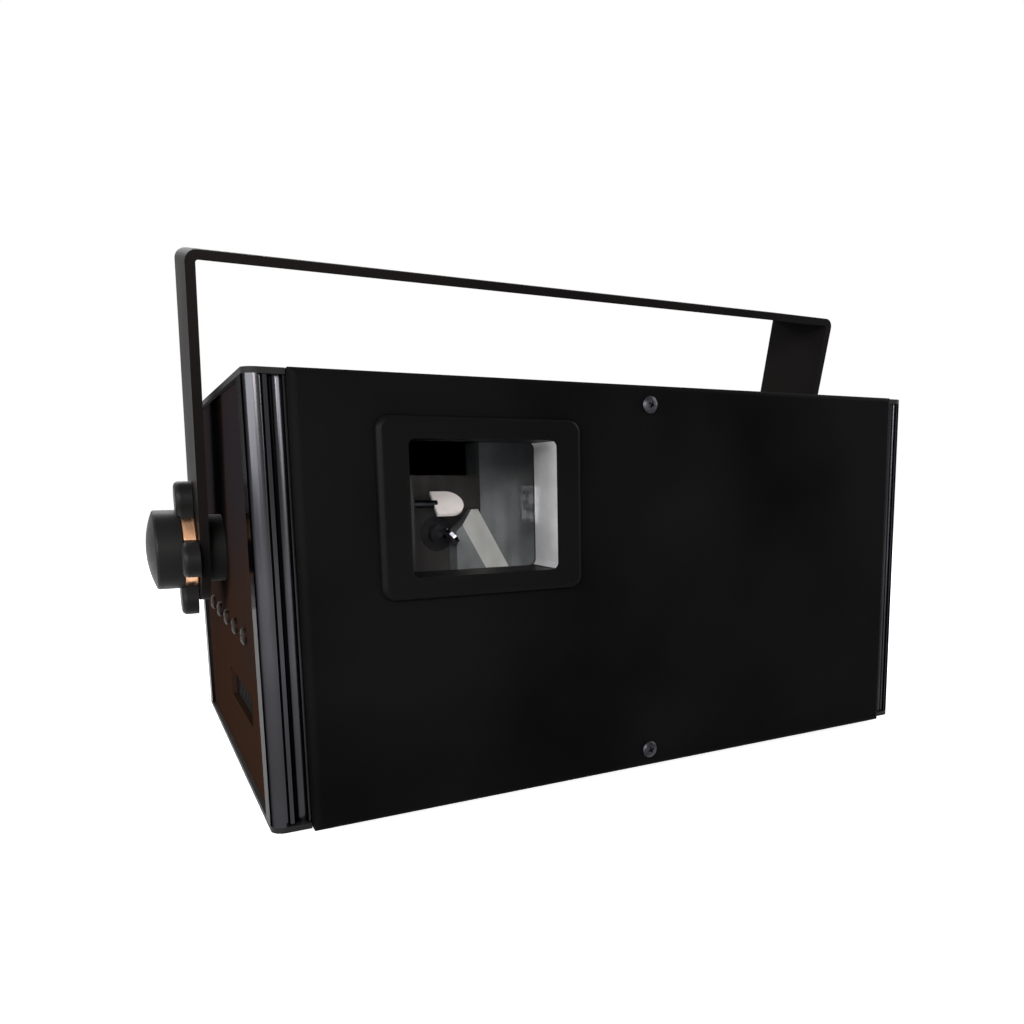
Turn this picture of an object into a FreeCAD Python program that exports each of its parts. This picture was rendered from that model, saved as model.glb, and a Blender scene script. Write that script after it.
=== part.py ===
# Laser show projector: a fluted-post sheet housing in a tilting U yoke, with a scanner behind a deep window.
# Millimetres. +Z is up, the window faces -Y, and the origin lies on the floor under the middle of the part.
import FreeCAD, Part
import os
from math import asin, cos, pi, sin

# Housing
body_width = 290.0
body_depth = 206.0
body_height = 151.5
plate = 2.0
panel = 2.5
turned_flange = 10.0
turned_flange_end_gap = 4.0
overrun = 1.0
fit_gap = 0.05

# Folded front panel
tray_sheet = 2.0
tray_proud = 5.0
tray_bend = 2.4

# Corner posts, measured from the outer corner inwards
bead_radius = 4.5
fine_flute_width = 1.5
fine_flute_depth = 1.9
ridge_drop = 1.2
ridge_width = 1.3
wide_flute_width = 4.7
wide_flute_depth = 3.4
lip_width = 0.7
post_side = 13.5
post_core = 13.0
post_flange_reach = 9.3
post_flange = 2.0
side_recess = 1.5
panel_gap = 0.3
channel_radius = 1.8
channel_inset = 8.2

# Feet
foot_height = 4.0
foot_radius = 8.0
foot_taper = 1.0
foot_inset = 34.0
foot_peg_radius = 3.0
foot_barb_radius = 3.8
foot_barb_height = 1.2

# Screws
screw_head_radius = 3.3
screw_head_height = 2.1
screw_shank_radius = 1.7
screw_shank_length = 11.0
flat_head_radius = 3.2
flat_head_height = 1.5
panel_screw_edge = 7.5

# Window
window_x_share = -0.4745
window_z_share = 0.705
window_width = 54.5
window_height = 46.5
bezel_width = 76.0
bezel_height = 62.0
bezel_corner = 5.0
bezel_proud = 3.0
bezel_round = 2.4
reveal_depth = 19.0
reveal_wall = 2.0
reveal_corner = 2.5
seal_thickness = 1.0
glass_thickness = 3.0
glass_lap = 2.5
clip_length = 14.0
clip_width = 6.0
clip_thickness = 1.5

# Side vents, measured from the front and from the bottom of the housing
vent_length = 62.0
vent_height = 12.0
vent_y = 75.0
vent_z = 31.5
vent_corner = 2.0
grille_lap = 4.0
grille_sheet = 1.0
grille_slot = 2.6
grille_bar = 1.9

# Tilt pivot and yoke
pivot_y = 104.75
pivot_z_share = 0.588
yoke_lean_degrees = 13.8
stud_radius = 4.0
running_gap = 0.08
stud_head_radius = 8.0
stud_head_height = 3.0
backing_length = 44.0
backing_height = 30.0
backing_sheet = 4.0
arm_gap = 5.4
spacer_radius = 14.0
spacer_play = 0.15
yoke_sheet = 3.5
yoke_width = 43.0
yoke_height = 116.9
yoke_bend = 1.0
yoke_bolt_radius = 5.25
yoke_slot_radius = 4.25
yoke_slot_length = 24.0
yoke_slot_spread = 62.0

# Clamp knobs
lobe_count = 4
knob_radius = 28.0
lobe_radius = 7.0
knob_waist_radius = 13.0
knob_rim = 6.4
knob_rest_degrees = 8.0
knob_round = 2.0
crown_radius = 16.2
crown_shoulder = 8.5
crown_rise = 3.2
crown_round = 1.2
collar_radius = 15.5
collar_thickness = 5.6
collar_chamfer = 0.6
collar_seat = 5.3
knob_play = 0.15
stud_grip = 8.0

# Optical base, measured from the front and rear of the housing
base_front = 24.0
base_rear_gap = 36.0
base_bottom_share = 0.376
base_thickness = 6.0
shelf_screw_count = 5
shelf_screw_first = 47.0
shelf_screw_pitch = 26.5

# Scanner
mirror_drop = 13.0
scan_offset = 5.8
scan_mirror_thickness = 1.4
x_mirror_length = 12.0
x_mirror_width = 9.0
y_mirror_length = 12.5
y_mirror_width = 12.5
mirror_shaft_radius = 1.5
mirror_shaft_seat = 6.0
mirror_shaft_lap = 1.4
motor_radius = 7.5
motor_length = 30.0
motor_boss_radius = 4.0
motor_boss = 3.0
motor_reach = 6.0
block_wall = 16.0
block_cheek = 14.0
block_floor = 8.0
block_left_reach = 18.0
block_mount_gap = 6.5
block_over_motor = 4.0
bracket_left = 5.4
bracket_upright = 20.0
bracket_above = 25.5
gusset_thickness = 9.0
gusset_shoulder = 9.0
gusset_flat = 4.0
gusset_run = 16.2
gusset_foot = 3.0
gusset_drop = 3.0
gusset_chamfer = 8.0
gusset_chamfer_width = 12.0

# Laser modules and combining mirrors
laser_length = 70.0
laser_width = 36.0
laser_height = 44.0
laser_x_share = 0.31
laser_y_shares = (0.233, 0.456, 0.68)
laser_fin_count = 6
laser_fin_depth = 4.0
nozzle_radius = 5.0
nozzle_length = 7.0
nozzle_bore = 1.8
combiner_pitch = 22.0
mount_radius = 7.5
mount_foot_radius = 9.5
mount_foot_height = 4.0
combiner_side = 18.0
combiner_thickness = 2.0
combiner_below_beam = 9.0

# Power supply and boards, measured from the left feet, the right side and the front of the housing
supply_width = 92.0
supply_length = 130.0
supply_height = 38.0
supply_foot_gap = 13.0
supply_y = 18.0
terminal_width = 60.0
terminal_depth = 12.0
terminal_height = 14.0
driver_width = 76.0
driver_length = 96.0
driver_side_gap = 19.0
driver_y = 36.0
board = 1.6
pillar_height = 8.0
pillar_radius = 3.0
pillar_inset = 5.0
driver_sink_length = 60.0
driver_sink_width = 12.0
driver_sink_height = 22.0
driver_sink_inset = 14.0
driver_sink_pitch = 34.0
driver_sink_count = 2

# Rear fittings, placed by shares of the half width and of the height
fan_shares = (-0.55, 0.5)
fan_side = 60.0
fan_depth = 20.0
fan_bore_radius = 28.0
fan_hole_radius = 2.2
fan_hole_inset = 5.0
fan_corner = 4.0
fan_hub_radius = 12.0
fan_blade_count = 7
fan_blade_radius = 26.8
fan_blade_degrees = 38.0
fan_blade_thickness = 1.4
fan_hub_height = 13.0
fan_pin_radius = 1.5
fan_pin_length = 10.0
fan_core_height = 3.0
fan_arm_width = 5.0
fan_end_play = 0.3
guard_side = 64.0
guard_sheet = 2.0
guard_ring_width = 2.2
guard_ring_radii = (8.0, 17.0)

inlet_shares = (0.675, 0.213)
inlet_width = 24.4
inlet_height = 16.6
inlet_wall = 1.8
inlet_depth = 16.0
inlet_back = 3.0
inlet_bevel = 4.5
inlet_flange = 2.0
inlet_flange_lap = 2.6
inlet_pin_spread = 7.0
inlet_pin_offset = 2.0
inlet_pin_thickness = 2.0
inlet_pin_height = 4.0
inlet_pin_length = 13.0

switch_shares = (0.455, 0.213)
switch_width = 11.0
switch_height = 18.0
switch_wall = 1.6
switch_depth = 15.0
switch_flange = 1.8
switch_flange_lap = 1.6
rocker_gap = 0.4
rocker_end_gap = 0.9
rocker_rise = 1.6
rocker_dip = 1.2
rocker_throw_degrees = 10.0
rocker_depth = 7.0
rocker_axis_depth = 3.0
rocker_pin_radius = 1.0
rocker_pin_length = 0.9

signal_in_shares = (0.18, 0.213)
signal_out_shares = (-0.055, 0.213)
socket_flange_width = 26.0
socket_flange_height = 31.0
socket_flange = 2.2
socket_flange_corner = 3.0
socket_shell_radius = 11.6
socket_bore_radius = 9.5
socket_depth = 15.0
socket_back = 4.0
socket_insert_radius = 8.7
socket_insert_drop = 1.0
contact_count = 3
contact_circle = 4.6
contact_radius = 1.2
contact_length = 11.0
contact_hole_depth = 9.0

port_shares = (0.48, 0.5)
port_flange_length = 53.0
port_flange_height = 12.6
port_flange = 1.2
port_shell_length = 38.4
port_shell_height = 8.4
port_shell_slope = 1.7
port_shell_proud = 5.6
port_body_length = 41.5
port_body_height = 10.6
port_body_depth = 9.0
port_post_radius = 2.6
port_post_height = 5.0

lock_shares = (0.055, 0.44)
lock_flange_radius = 11.0
lock_flange = 3.0
lock_chamfer = 1.0
lock_body_radius = 9.3
lock_body_depth = 24.0
lock_plug_radius = 6.0
lock_plug_depth = 20.0
lock_plug_inset = 0.4
key_slot_width = 1.8
key_slot_height = 8.0
key_slot_depth = 14.0

display_shares = (0.24, 0.745)
display_length = 40.0
display_height = 20.0
display_proud = 0.6
display_lap = 1.5
display_rim = 1.2
button_count = 4
button_x_share = 0.48
button_pitch = 11.0
button_radius = 4.0
button_hole_gap = 0.3
button_proud = 2.4
button_round = 0.8
button_collar_radius = 5.0
button_collar = 1.0
button_stem_radius = 1.6
button_travel = 1.0
switch_can_side = 6.0
switch_can_height = 4.0
control_end = 4.0
control_height = 36.0

eye_shares = (0.0, 0.667)
eye_reach = 18.0
eye_sheet = 3.0
eye_base_width = 16.0
eye_base_height = 30.0
eye_tab_height = 20.0
eye_radius = 5.0
eye_nose_share = 0.95

# Places shared by several pieces
front_y = (tray_proud + bezel_proud - eye_reach - body_depth) / 2
face_y = front_y - tray_proud
tray_back = front_y + panel
rear_y = front_y + body_depth
floor_z = foot_height
roof_z = foot_height + body_height
half_width = body_width / 2
post_front = bead_radius + fine_flute_width + ridge_width + wide_flute_width + lip_width
panel_half = half_width - post_front - panel_gap
inner_low = floor_z + plate
inner_high = roof_z - plate
side_outer = half_width - side_recess
side_inner = side_outer - plate
side_front = front_y + post_side + panel_gap
side_back = rear_y - post_side - panel_gap
tilt_y = front_y + pivot_y
tilt_z = floor_z + pivot_z_share * body_height
arm_inner = half_width + arm_gap
arm_outer = arm_inner + yoke_sheet
base_back = rear_y - base_rear_gap
base_low = floor_z + base_bottom_share * body_height
base_top = base_low + base_thickness
window_x = window_x_share * half_width
scan_x = window_x + scan_offset
scan_y = front_y + min(laser_y_shares) * body_depth
scan_z = floor_z + window_z_share * body_height
beam_z = scan_z - mirror_drop
laser_x = laser_x_share * half_width
rear_inner = rear_y - panel
turned_half = half_width - post_front - post_flange_reach - turned_flange_end_gap
X_AXIS = FreeCAD.Vector(1, 0, 0)
Y_AXIS = FreeCAD.Vector(0, 1, 0)
Z_AXIS = FreeCAD.Vector(0, 0, 1)
HOME = FreeCAD.Vector(0, 0, 0)


# Shared shapes

def point(x, y, z=0.0):
    return FreeCAD.Vector(x, y, z)


def block(low, high):
    return Part.makeBox(high[0] - low[0], high[1] - low[1], high[2] - low[2], point(*low))


def rod(start, axis, radius, length):
    return Part.makeCylinder(radius, length, point(*start), axis)


def arc(first, middle, last):
    return Part.Arc(first, middle, last).toShape()


def polygon_prism(points, direction):
    wire = Part.makePolygon(points + points[:1])
    return Part.Face(wire).extrude(direction)


def rounded_plate(width, height, corner, thickness):
    """A plate in the XZ plane, centred on the origin, that grows towards +Y."""
    slab = block((-width / 2, 0, -height / 2), (width / 2, thickness, height / 2))
    corners = [e for e in slab.Edges if abs(e.tangentAt(e.FirstParameter).y) > 0.5]
    return slab.makeFillet(corner, corners)


def moved(shape, x, y, z):
    copy = shape.copy()
    copy.translate(point(x, y, z))
    return copy


def turned(shape, axis, degrees, centre=HOME):
    copy = shape.copy()
    copy.rotate(centre, axis, degrees)
    return copy


def mirrored(shape):
    return shape.mirror(HOME, X_AXIS)


def both_sides(shape):
    return [shape, mirrored(shape)]


def edges_along(shape, axis, test):
    """Straight edges that run along the axis and whose middle passes the test."""
    chosen = []
    for edge in shape.Edges:
        middle = edge.valueAt((edge.FirstParameter + edge.LastParameter) / 2)
        straight = edge.Curve.TypeId == "Part::GeomLine" and abs(edge.Curve.Direction.dot(axis)) > 0.99
        if straight and test(middle):
            chosen.append(edge)
    return chosen


def dome_arc(radius, low, rise):
    """The arc of a round cap, from its rim up to its top on the Z axis."""
    ball = (radius ** 2 + rise ** 2) / (2 * rise)
    half = asin(radius / ball) / 2
    top = low + rise
    middle = point(ball * sin(half), 0, top - ball * (1 - cos(half)))
    return arc(point(radius, 0, low), middle, point(0, 0, top))


def pan_screw():
    """A screw with a low domed head on the XY plane and its shank towards -Z."""
    shoulder = screw_head_height / 2
    outline = Part.Wire([
        Part.makeLine(point(0, 0, -screw_shank_length), point(screw_shank_radius, 0, -screw_shank_length)),
        Part.makeLine(point(screw_shank_radius, 0, -screw_shank_length), point(screw_shank_radius, 0, 0)),
        Part.makeLine(point(screw_shank_radius, 0, 0), point(screw_head_radius, 0, 0)),
        Part.makeLine(point(screw_head_radius, 0, 0), point(screw_head_radius, 0, shoulder)),
        dome_arc(screw_head_radius, shoulder, screw_head_height - shoulder),
        Part.makeLine(point(0, 0, screw_head_height), point(0, 0, -screw_shank_length)),
    ])
    return Part.Face(outline).revolve(HOME, Z_AXIS, 360)


def flat_screw():
    """A countersunk screw with its flush head on the XY plane and its shank towards -Z."""
    low = point(0, 0, -flat_head_height)
    head = Part.makeCone(screw_shank_radius, flat_head_radius, flat_head_height, low)
    shank = rod((0, 0, -screw_shank_length), Z_AXIS, screw_shank_radius, screw_shank_length)
    return head.fuse(shank).removeSplitter()


def flat_screw_cut():
    """The hole of a countersunk screw, with its mouth on the XY plane."""
    narrow = screw_shank_radius + fit_gap
    wide = flat_head_radius + fit_gap
    cone = Part.makeCone(narrow, wide, flat_head_height, point(0, 0, -flat_head_height))
    mouth = rod((0, 0, 0), Z_AXIS, wide, overrun)
    return cone.fuse([mouth, rod((0, 0, -plate - overrun), Z_AXIS, narrow, plate + overrun)])


def screw_hole(start, axis):
    return rod(start, axis, screw_shank_radius + fit_gap, screw_shank_length + overrun)


# Housing

def post_outline():
    """The plan of the front left post, with its outer corner at the origin."""
    ridge = bead_radius + fine_flute_width
    wide = ridge + ridge_width
    lip = wide + wide_flute_width
    half = bead_radius * (1 - cos(pi / 4))
    side_seat = side_recess + plate
    front_end = post_front + post_flange_reach
    side_end = post_side + post_flange_reach
    fine = point((bead_radius + ridge) / 2, fine_flute_depth)
    path = [
        arc(point(0, bead_radius), point(half, half), point(bead_radius, 0)),
        arc(point(bead_radius, 0), fine, point(ridge, ridge_drop)),
    ]
    ends = [
        point(wide, ridge_drop), point(lip, ridge_drop), point(post_front, ridge_drop),
        point(post_front, panel), point(front_end, panel),
        point(front_end, panel + post_flange), point(post_core, panel + post_flange),
        point(post_core, post_core), point(side_seat + post_flange, post_core),
        point(side_seat + post_flange, side_end), point(side_seat, side_end),
        point(side_seat, post_side), point(0, post_side), point(0, bead_radius),
    ]
    path.append(Part.makeLine(point(ridge, ridge_drop), ends[0]))
    path.append(arc(ends[0], point((wide + lip) / 2, wide_flute_depth), ends[1]))
    for start, end in zip(ends[1:], ends[2:]):
        path.append(Part.makeLine(start, end))
    return Part.Wire(path)


def front_left_post():
    post = Part.Face(post_outline()).extrude(point(0, 0, inner_high - inner_low))
    channel = rod((channel_inset, channel_inset, -overrun), Z_AXIS, channel_radius, body_height)
    return moved(post.cut(channel), -half_width, front_y, inner_low)


def rear_left_post():
    return front_left_post().mirror(point(0, (front_y + rear_y) / 2), Y_AXIS)


def channel_places():
    side = half_width - channel_inset
    return [(x, y) for x in (-side, side) for y in (front_y + channel_inset, rear_y - channel_inset)]


def cover_plate(low, flange_low):
    """A corner-rounded plate behind the front tray, with a flange turned in at the front and at the rear."""
    sheet = block((-half_width, front_y, low), (half_width, rear_y, low + plate))
    sheet = sheet.makeFillet(bead_radius, edges_along(sheet, Z_AXIS, lambda middle: True))
    room = panel_half + panel_gap
    notch = tray_back + panel_gap
    sheet = sheet.cut(block((-room, front_y - overrun, low - overrun), (room, notch, low + plate + overrun)))
    for start in (notch, rear_inner - plate):
        high = (turned_half, start + plate, flange_low + turned_flange)
        sheet = sheet.fuse(block((-turned_half, start, flange_low), high))
    return sheet


def panel_screw_hole(z):
    """A hole right through the part's middle, for the screws of the front and rear panels."""
    length = rear_y - face_y + 2 * overrun
    return rod((0, face_y - overrun, z), Y_AXIS, screw_shank_radius + fit_gap, length)


def foot_places():
    side = half_width - foot_inset
    return [(x, y) for x in (-side, side) for y in (front_y + foot_inset, rear_y - foot_inset)]


def bottom_plate():
    sheet = cover_plate(floor_z, floor_z)
    for x, y in foot_places():
        peg_hole = rod((x, y, floor_z - overrun), Z_AXIS, foot_peg_radius + fit_gap, plate + 2 * overrun)
        sheet = sheet.cut(peg_hole)
    for x, y in channel_places():
        sheet = sheet.cut(moved(turned(flat_screw_cut(), X_AXIS, 180), x, y, floor_z))
    return sheet.cut(panel_screw_hole(floor_z + panel_screw_edge)).removeSplitter()


def top_cover():
    sheet = cover_plate(inner_high, roof_z - turned_flange)
    for x, y in channel_places():
        sheet = sheet.cut(moved(flat_screw_cut(), x, y, roof_z))
    return sheet.cut(panel_screw_hole(roof_z - panel_screw_edge)).removeSplitter()


def rubber_foot():
    barb = foot_height + plate
    outline = [
        point(0, 0, 0), point(foot_radius - foot_taper, 0, 0), point(foot_radius, 0, foot_height),
        point(foot_peg_radius, 0, foot_height), point(foot_peg_radius, 0, barb),
        point(foot_barb_radius, 0, barb), point(foot_peg_radius, 0, barb + foot_barb_height),
        point(0, 0, barb + foot_barb_height),
    ]
    return Part.Face(Part.makePolygon(outline + outline[:1])).revolve(HOME, Z_AXIS, 360)


def rubber_feet():
    return [moved(rubber_foot(), x, y, 0) for x, y in foot_places()]


def front_panel():
    """A shallow tray folded from sheet, open to the back, with the window cut through its face."""
    tray = block((-panel_half, face_y, floor_z), (panel_half, tray_back, roof_z))
    tray = tray.makeFillet(tray_bend, [e for e in tray.Edges if e.BoundBox.YMax < face_y + fit_gap])
    low = (-panel_half + tray_sheet, face_y + tray_sheet, floor_z + tray_sheet)
    tray = tray.cut(block(low, (panel_half - tray_sheet, tray_back + overrun, roof_z - tray_sheet)))
    wall = reveal_wall + fit_gap
    tunnel = rounded_plate(window_width + 2 * wall, window_height + 2 * wall, reveal_corner + wall,
                           tray_sheet + 2 * overrun)
    tray = tray.cut(moved(tunnel, window_x, face_y - overrun, scan_z))
    for z in (floor_z + panel_screw_edge, roof_z - panel_screw_edge):
        tray = tray.cut(panel_screw_hole(z))
    return tray


def panel_screws():
    screws = []
    for z in (floor_z + panel_screw_edge, roof_z - panel_screw_edge):
        screws.append(moved(turned(pan_screw(), X_AXIS, 90), 0, face_y, z))
        screws.append(moved(turned(pan_screw(), X_AXIS, -90), 0, rear_y, z))
    return screws


def cover_screws():
    screws = []
    for x, y in channel_places():
        screws.append(moved(flat_screw(), x, y, roof_z))
        screws.append(moved(turned(flat_screw(), X_AXIS, 180), x, y, floor_z))
    return screws


def shelf_screw_ys():
    return [front_y + shelf_screw_first + shelf_screw_pitch * i for i in range(shelf_screw_count)]


def shelf_screws():
    z = base_low + base_thickness / 2
    left = [moved(turned(pan_screw(), Y_AXIS, -90), -side_outer, y, z) for y in shelf_screw_ys()]
    return left + [mirrored(screw) for screw in left]


def left_side_panel():
    sheet = block((-side_outer, side_front, inner_low), (-side_inner, side_back, inner_high))
    vent = turned(rounded_plate(vent_length, vent_height, vent_corner, plate + 2 * overrun), Z_AXIS, -90)
    outside = -side_outer - overrun
    sheet = sheet.cut(moved(vent, outside, front_y + vent_y, floor_z + vent_z))
    sheet = sheet.cut(rod((outside, tilt_y, tilt_z), X_AXIS, stud_radius + fit_gap, plate + 2 * overrun))
    for y in shelf_screw_ys():
        sheet = sheet.cut(screw_hole((outside, y, base_low + base_thickness / 2), X_AXIS))
    return sheet


def left_vent_grille():
    length = vent_length + 2 * grille_lap
    height = vent_height + 2 * grille_lap
    low_y = front_y + vent_y - length / 2
    low_z = floor_z + vent_z - height / 2
    inside = -side_inner + grille_sheet
    grille = block((-side_inner, low_y, low_z), (inside, low_y + length, low_z + height))
    pitch = grille_slot + grille_bar
    count = int((vent_length - grille_bar) // pitch)
    first = front_y + vent_y - (count * pitch - grille_bar) / 2
    rim = grille_lap + grille_bar
    slots = []
    for i in range(count):
        start = first + i * pitch
        slots.append(block((-side_inner - overrun, start, low_z + rim),
                           (inside + overrun, start + grille_slot, low_z + height - rim)))
    return grille.cut(Part.makeCompound(slots))


# Window

def window_bezel():
    flange = rounded_plate(bezel_width, bezel_height, bezel_corner, bezel_proud)
    rim = [e for e in flange.Edges if e.BoundBox.YMax < fit_gap]
    flange = flange.makeFillet(bezel_round, rim)
    tunnel = rounded_plate(window_width + 2 * reveal_wall, window_height + 2 * reveal_wall,
                           reveal_corner + reveal_wall, reveal_depth)
    opening = rounded_plate(window_width, window_height, reveal_corner, reveal_depth + 2 * overrun)
    bezel = flange.fuse(tunnel).cut(moved(opening, 0, -overrun, 0))
    return moved(bezel, window_x, face_y - bezel_proud, scan_z)


def window_back():
    return face_y - bezel_proud + reveal_depth


def window_seal():
    frame = rounded_plate(window_width + 2 * reveal_wall, window_height + 2 * reveal_wall,
                          reveal_corner + reveal_wall, seal_thickness)
    opening = rounded_plate(window_width, window_height, reveal_corner, seal_thickness + 2 * overrun)
    return moved(frame.cut(moved(opening, 0, -overrun, 0)), window_x, window_back(), scan_z)


def window_glass():
    width = window_width + 2 * glass_lap
    pane = rounded_plate(width, window_height + 2 * glass_lap, reveal_corner, glass_thickness)
    return moved(pane, window_x, window_back() + seal_thickness, scan_z)


def glass_clips():
    """Two Z-shaped clips that hold the pane against the seal, from the back of the front panel."""
    back = window_back() + seal_thickness + glass_thickness
    seat = face_y + tray_sheet
    edge = window_width / 2 + glass_lap + fit_gap
    half = clip_length / 2
    lip = block((edge - clip_width, back, -half), (edge + clip_thickness, back + clip_thickness, half))
    leg = block((edge, seat, -half), (edge + clip_thickness, back, half))
    foot = block((edge, seat, -half), (edge + clip_width, seat + clip_thickness, half))
    clip = lip.fuse(leg).fuse(foot).removeSplitter()
    return [moved(piece, window_x, 0, scan_z) for piece in both_sides(clip)]


# Tilt pivot, yoke and knobs

def yoke():
    """A flat strap bent into a U, drawn upright over the pivot and then tilted forward."""
    outer_bend = yoke_bend + yoke_sheet
    half = yoke_width / 2
    inside = yoke_height - yoke_sheet
    across = 2 * arm_outer + 2 * overrun
    strap = block((-arm_outer, -half, -half), (arm_outer, half, yoke_height))
    strap = strap.makeFillet(outer_bend, edges_along(strap, Y_AXIS, lambda m: m.z > 0))
    hollow = block((-arm_inner, -half - overrun, -half - overrun), (arm_inner, half + overrun, inside))
    hollow = hollow.makeFillet(yoke_bend, edges_along(hollow, Y_AXIS, lambda m: m.z > 0))
    strap = strap.cut(hollow)
    start = (-arm_outer - overrun, 0, 0)
    above = block((start[0], -half - overrun, 0), (-start[0], half + overrun, yoke_height + overrun))
    strap = strap.common(rod(start, X_AXIS, half, across).fuse(above))
    strap = strap.cut(rod(start, X_AXIS, stud_radius + running_gap, across))
    strap = strap.cut(rod((0, 0, inside - overrun), Z_AXIS, yoke_bolt_radius, yoke_sheet + 2 * overrun))
    for x in (-yoke_slot_spread, yoke_slot_spread):
        strap = strap.cut(moved(yoke_slot(), x, 0, inside - overrun))
    strap = turned(strap, X_AXIS, yoke_lean_degrees)
    return moved(strap.removeSplitter(), 0, tilt_y, tilt_z)


def yoke_slot():
    half = yoke_slot_length / 2 - yoke_slot_radius
    depth = yoke_sheet + 2 * overrun
    slot = block((-half, -yoke_slot_radius, 0), (half, yoke_slot_radius, depth))
    for x in (-half, half):
        slot = slot.fuse(rod((x, 0, 0), Z_AXIS, yoke_slot_radius, depth))
    return slot


def knob_outline():
    """Round lobes joined by tangent hollows, with one lobe straight up, in the XY plane."""
    reach = knob_radius - lobe_radius
    step = pi / lobe_count
    waist = knob_waist_radius
    hollow_top = lobe_radius ** 2 - reach ** 2 - waist ** 2 + 2 * reach * waist * cos(step)
    hollow = hollow_top / (2 * (waist - reach * cos(step) - lobe_radius))
    path = []
    for k in range(lobe_count):
        tip = pi / 2 + 2 * k * step
        lobe = polar(reach, tip)
        before = polar(waist + hollow, tip - step)
        after = polar(waist + hollow, tip + step)
        start = lobe + (before - lobe).normalize() * lobe_radius
        end = lobe + (after - lobe).normalize() * lobe_radius
        next_lobe = polar(reach, tip + 2 * step)
        next_start = next_lobe + (after - next_lobe).normalize() * lobe_radius
        path.append(arc(start, polar(knob_radius, tip), end))
        path.append(arc(end, polar(waist, tip + step), next_start))
    return Part.Wire(path)


def polar(radius, angle):
    return point(radius * cos(angle), radius * sin(angle))


def crown():
    """The domed middle of the knob, on the rim's outer face."""
    rise = crown_shoulder + crown_rise
    low = collar_seat - knob_rim
    outline = Part.Wire([
        Part.makeLine(point(0, 0, low), point(crown_radius, 0, low)),
        Part.makeLine(point(crown_radius, 0, low), point(crown_radius, 0, crown_shoulder)),
        dome_arc(crown_radius, crown_shoulder, crown_rise),
        Part.makeLine(point(0, 0, rise), point(0, 0, low)),
    ])
    dome = Part.Face(outline).revolve(HOME, Z_AXIS, 360)
    rim = [e for e in dome.Edges if e.BoundBox.ZMin > low + fit_gap and e.BoundBox.ZLength < fit_gap]
    return dome.makeFillet(crown_round, rim)


def on_left_pivot(shape, away):
    """Turns a shape drawn along +Z to point out of the left side, that far from the part's middle plane."""
    outward = turned(turned(shape, Z_AXIS, -90), Y_AXIS, -90)
    return moved(outward, -away, tilt_y, tilt_z)


def knob_inner():
    return arm_outer + knob_play + collar_thickness - collar_seat


def left_knob_grip():
    grip = Part.Face(knob_outline()).extrude(point(0, 0, knob_rim))
    rim = [e for e in grip.Edges if e.BoundBox.ZMin > knob_rim - fit_gap]
    grip = grip.makeFillet(knob_round, rim).fuse(moved(crown(), 0, 0, knob_rim))
    grip = grip.cut(rod((0, 0, -overrun), Z_AXIS, collar_radius + fit_gap, collar_seat + overrun))
    grip = grip.cut(rod((0, 0, 0), Z_AXIS, stud_radius + running_gap, collar_seat + stud_grip))
    return on_left_pivot(turned(grip, Z_AXIS, -knob_rest_degrees), knob_inner())


def left_knob_collar():
    ring = rod((0, 0, 0), Z_AXIS, collar_radius, collar_thickness)
    ring = ring.makeChamfer(collar_chamfer, ring.Edges[:1] + ring.Edges[2:])
    ring = ring.cut(rod((0, 0, -overrun), Z_AXIS, stud_radius + running_gap, collar_thickness + 2 * overrun))
    return on_left_pivot(ring, arm_outer + knob_play)


def left_pivot_stud():
    back = side_inner - backing_sheet
    head = rod((0, 0, -stud_head_height), Z_AXIS, stud_head_radius, stud_head_height)
    reach = knob_inner() + collar_seat + stud_grip - back - overrun
    stud = head.fuse(rod((0, 0, 0), Z_AXIS, stud_radius, reach))
    return on_left_pivot(stud.removeSplitter(), back)


def left_backing_plate():
    sheet = rounded_plate(backing_length, backing_height, backing_sheet, backing_sheet)
    sheet = moved(turned(sheet, Z_AXIS, 90), -side_inner + backing_sheet, tilt_y, tilt_z)
    start = (-side_inner - overrun, tilt_y, tilt_z)
    return sheet.cut(rod(start, X_AXIS, stud_radius + fit_gap, backing_sheet + 2 * overrun))


def left_pivot_spacer():
    thickness = arm_inner - side_outer - spacer_play
    ring = rod((0, 0, 0), Z_AXIS, spacer_radius, thickness)
    ring = ring.cut(rod((0, 0, -overrun), Z_AXIS, stud_radius + fit_gap, thickness + 2 * overrun))
    return on_left_pivot(ring, side_outer)


# Optical base and scanner

def optical_base():
    base = block((-side_inner, front_y + base_front, base_low), (side_inner, base_back, base_top))
    for y in shelf_screw_ys():
        for start, axis in ((-side_outer, X_AXIS), (side_outer, -X_AXIS)):
            base = base.cut(screw_hole((start, y, base_low + base_thickness / 2), axis))
    return base


def scanner_block():
    left = scan_x - block_left_reach - block_cheek
    right = -mount_foot_radius - block_mount_gap
    upright = scan_x + bracket_upright
    wall_front = x_motor_face()
    wall_back = wall_front + block_wall
    top = scan_z + motor_radius + block_over_motor
    front = scan_y - motor_radius - block_over_motor
    body = block((left, front, base_top), (right, wall_back, base_top + block_floor))
    body = body.fuse(block((left, wall_front, base_top), (upright, wall_back, top)))
    body = body.fuse(block((left, front, base_top), (left + block_cheek, wall_front, top)))
    bore = motor_radius + fit_gap
    body = body.cut(rod((scan_x, wall_front - overrun, beam_z), Y_AXIS, bore, block_wall + 2 * overrun))
    body = body.cut(rod((left - overrun, scan_y, scan_z), X_AXIS, bore, block_cheek + 2 * overrun))
    return body.removeSplitter()


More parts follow.
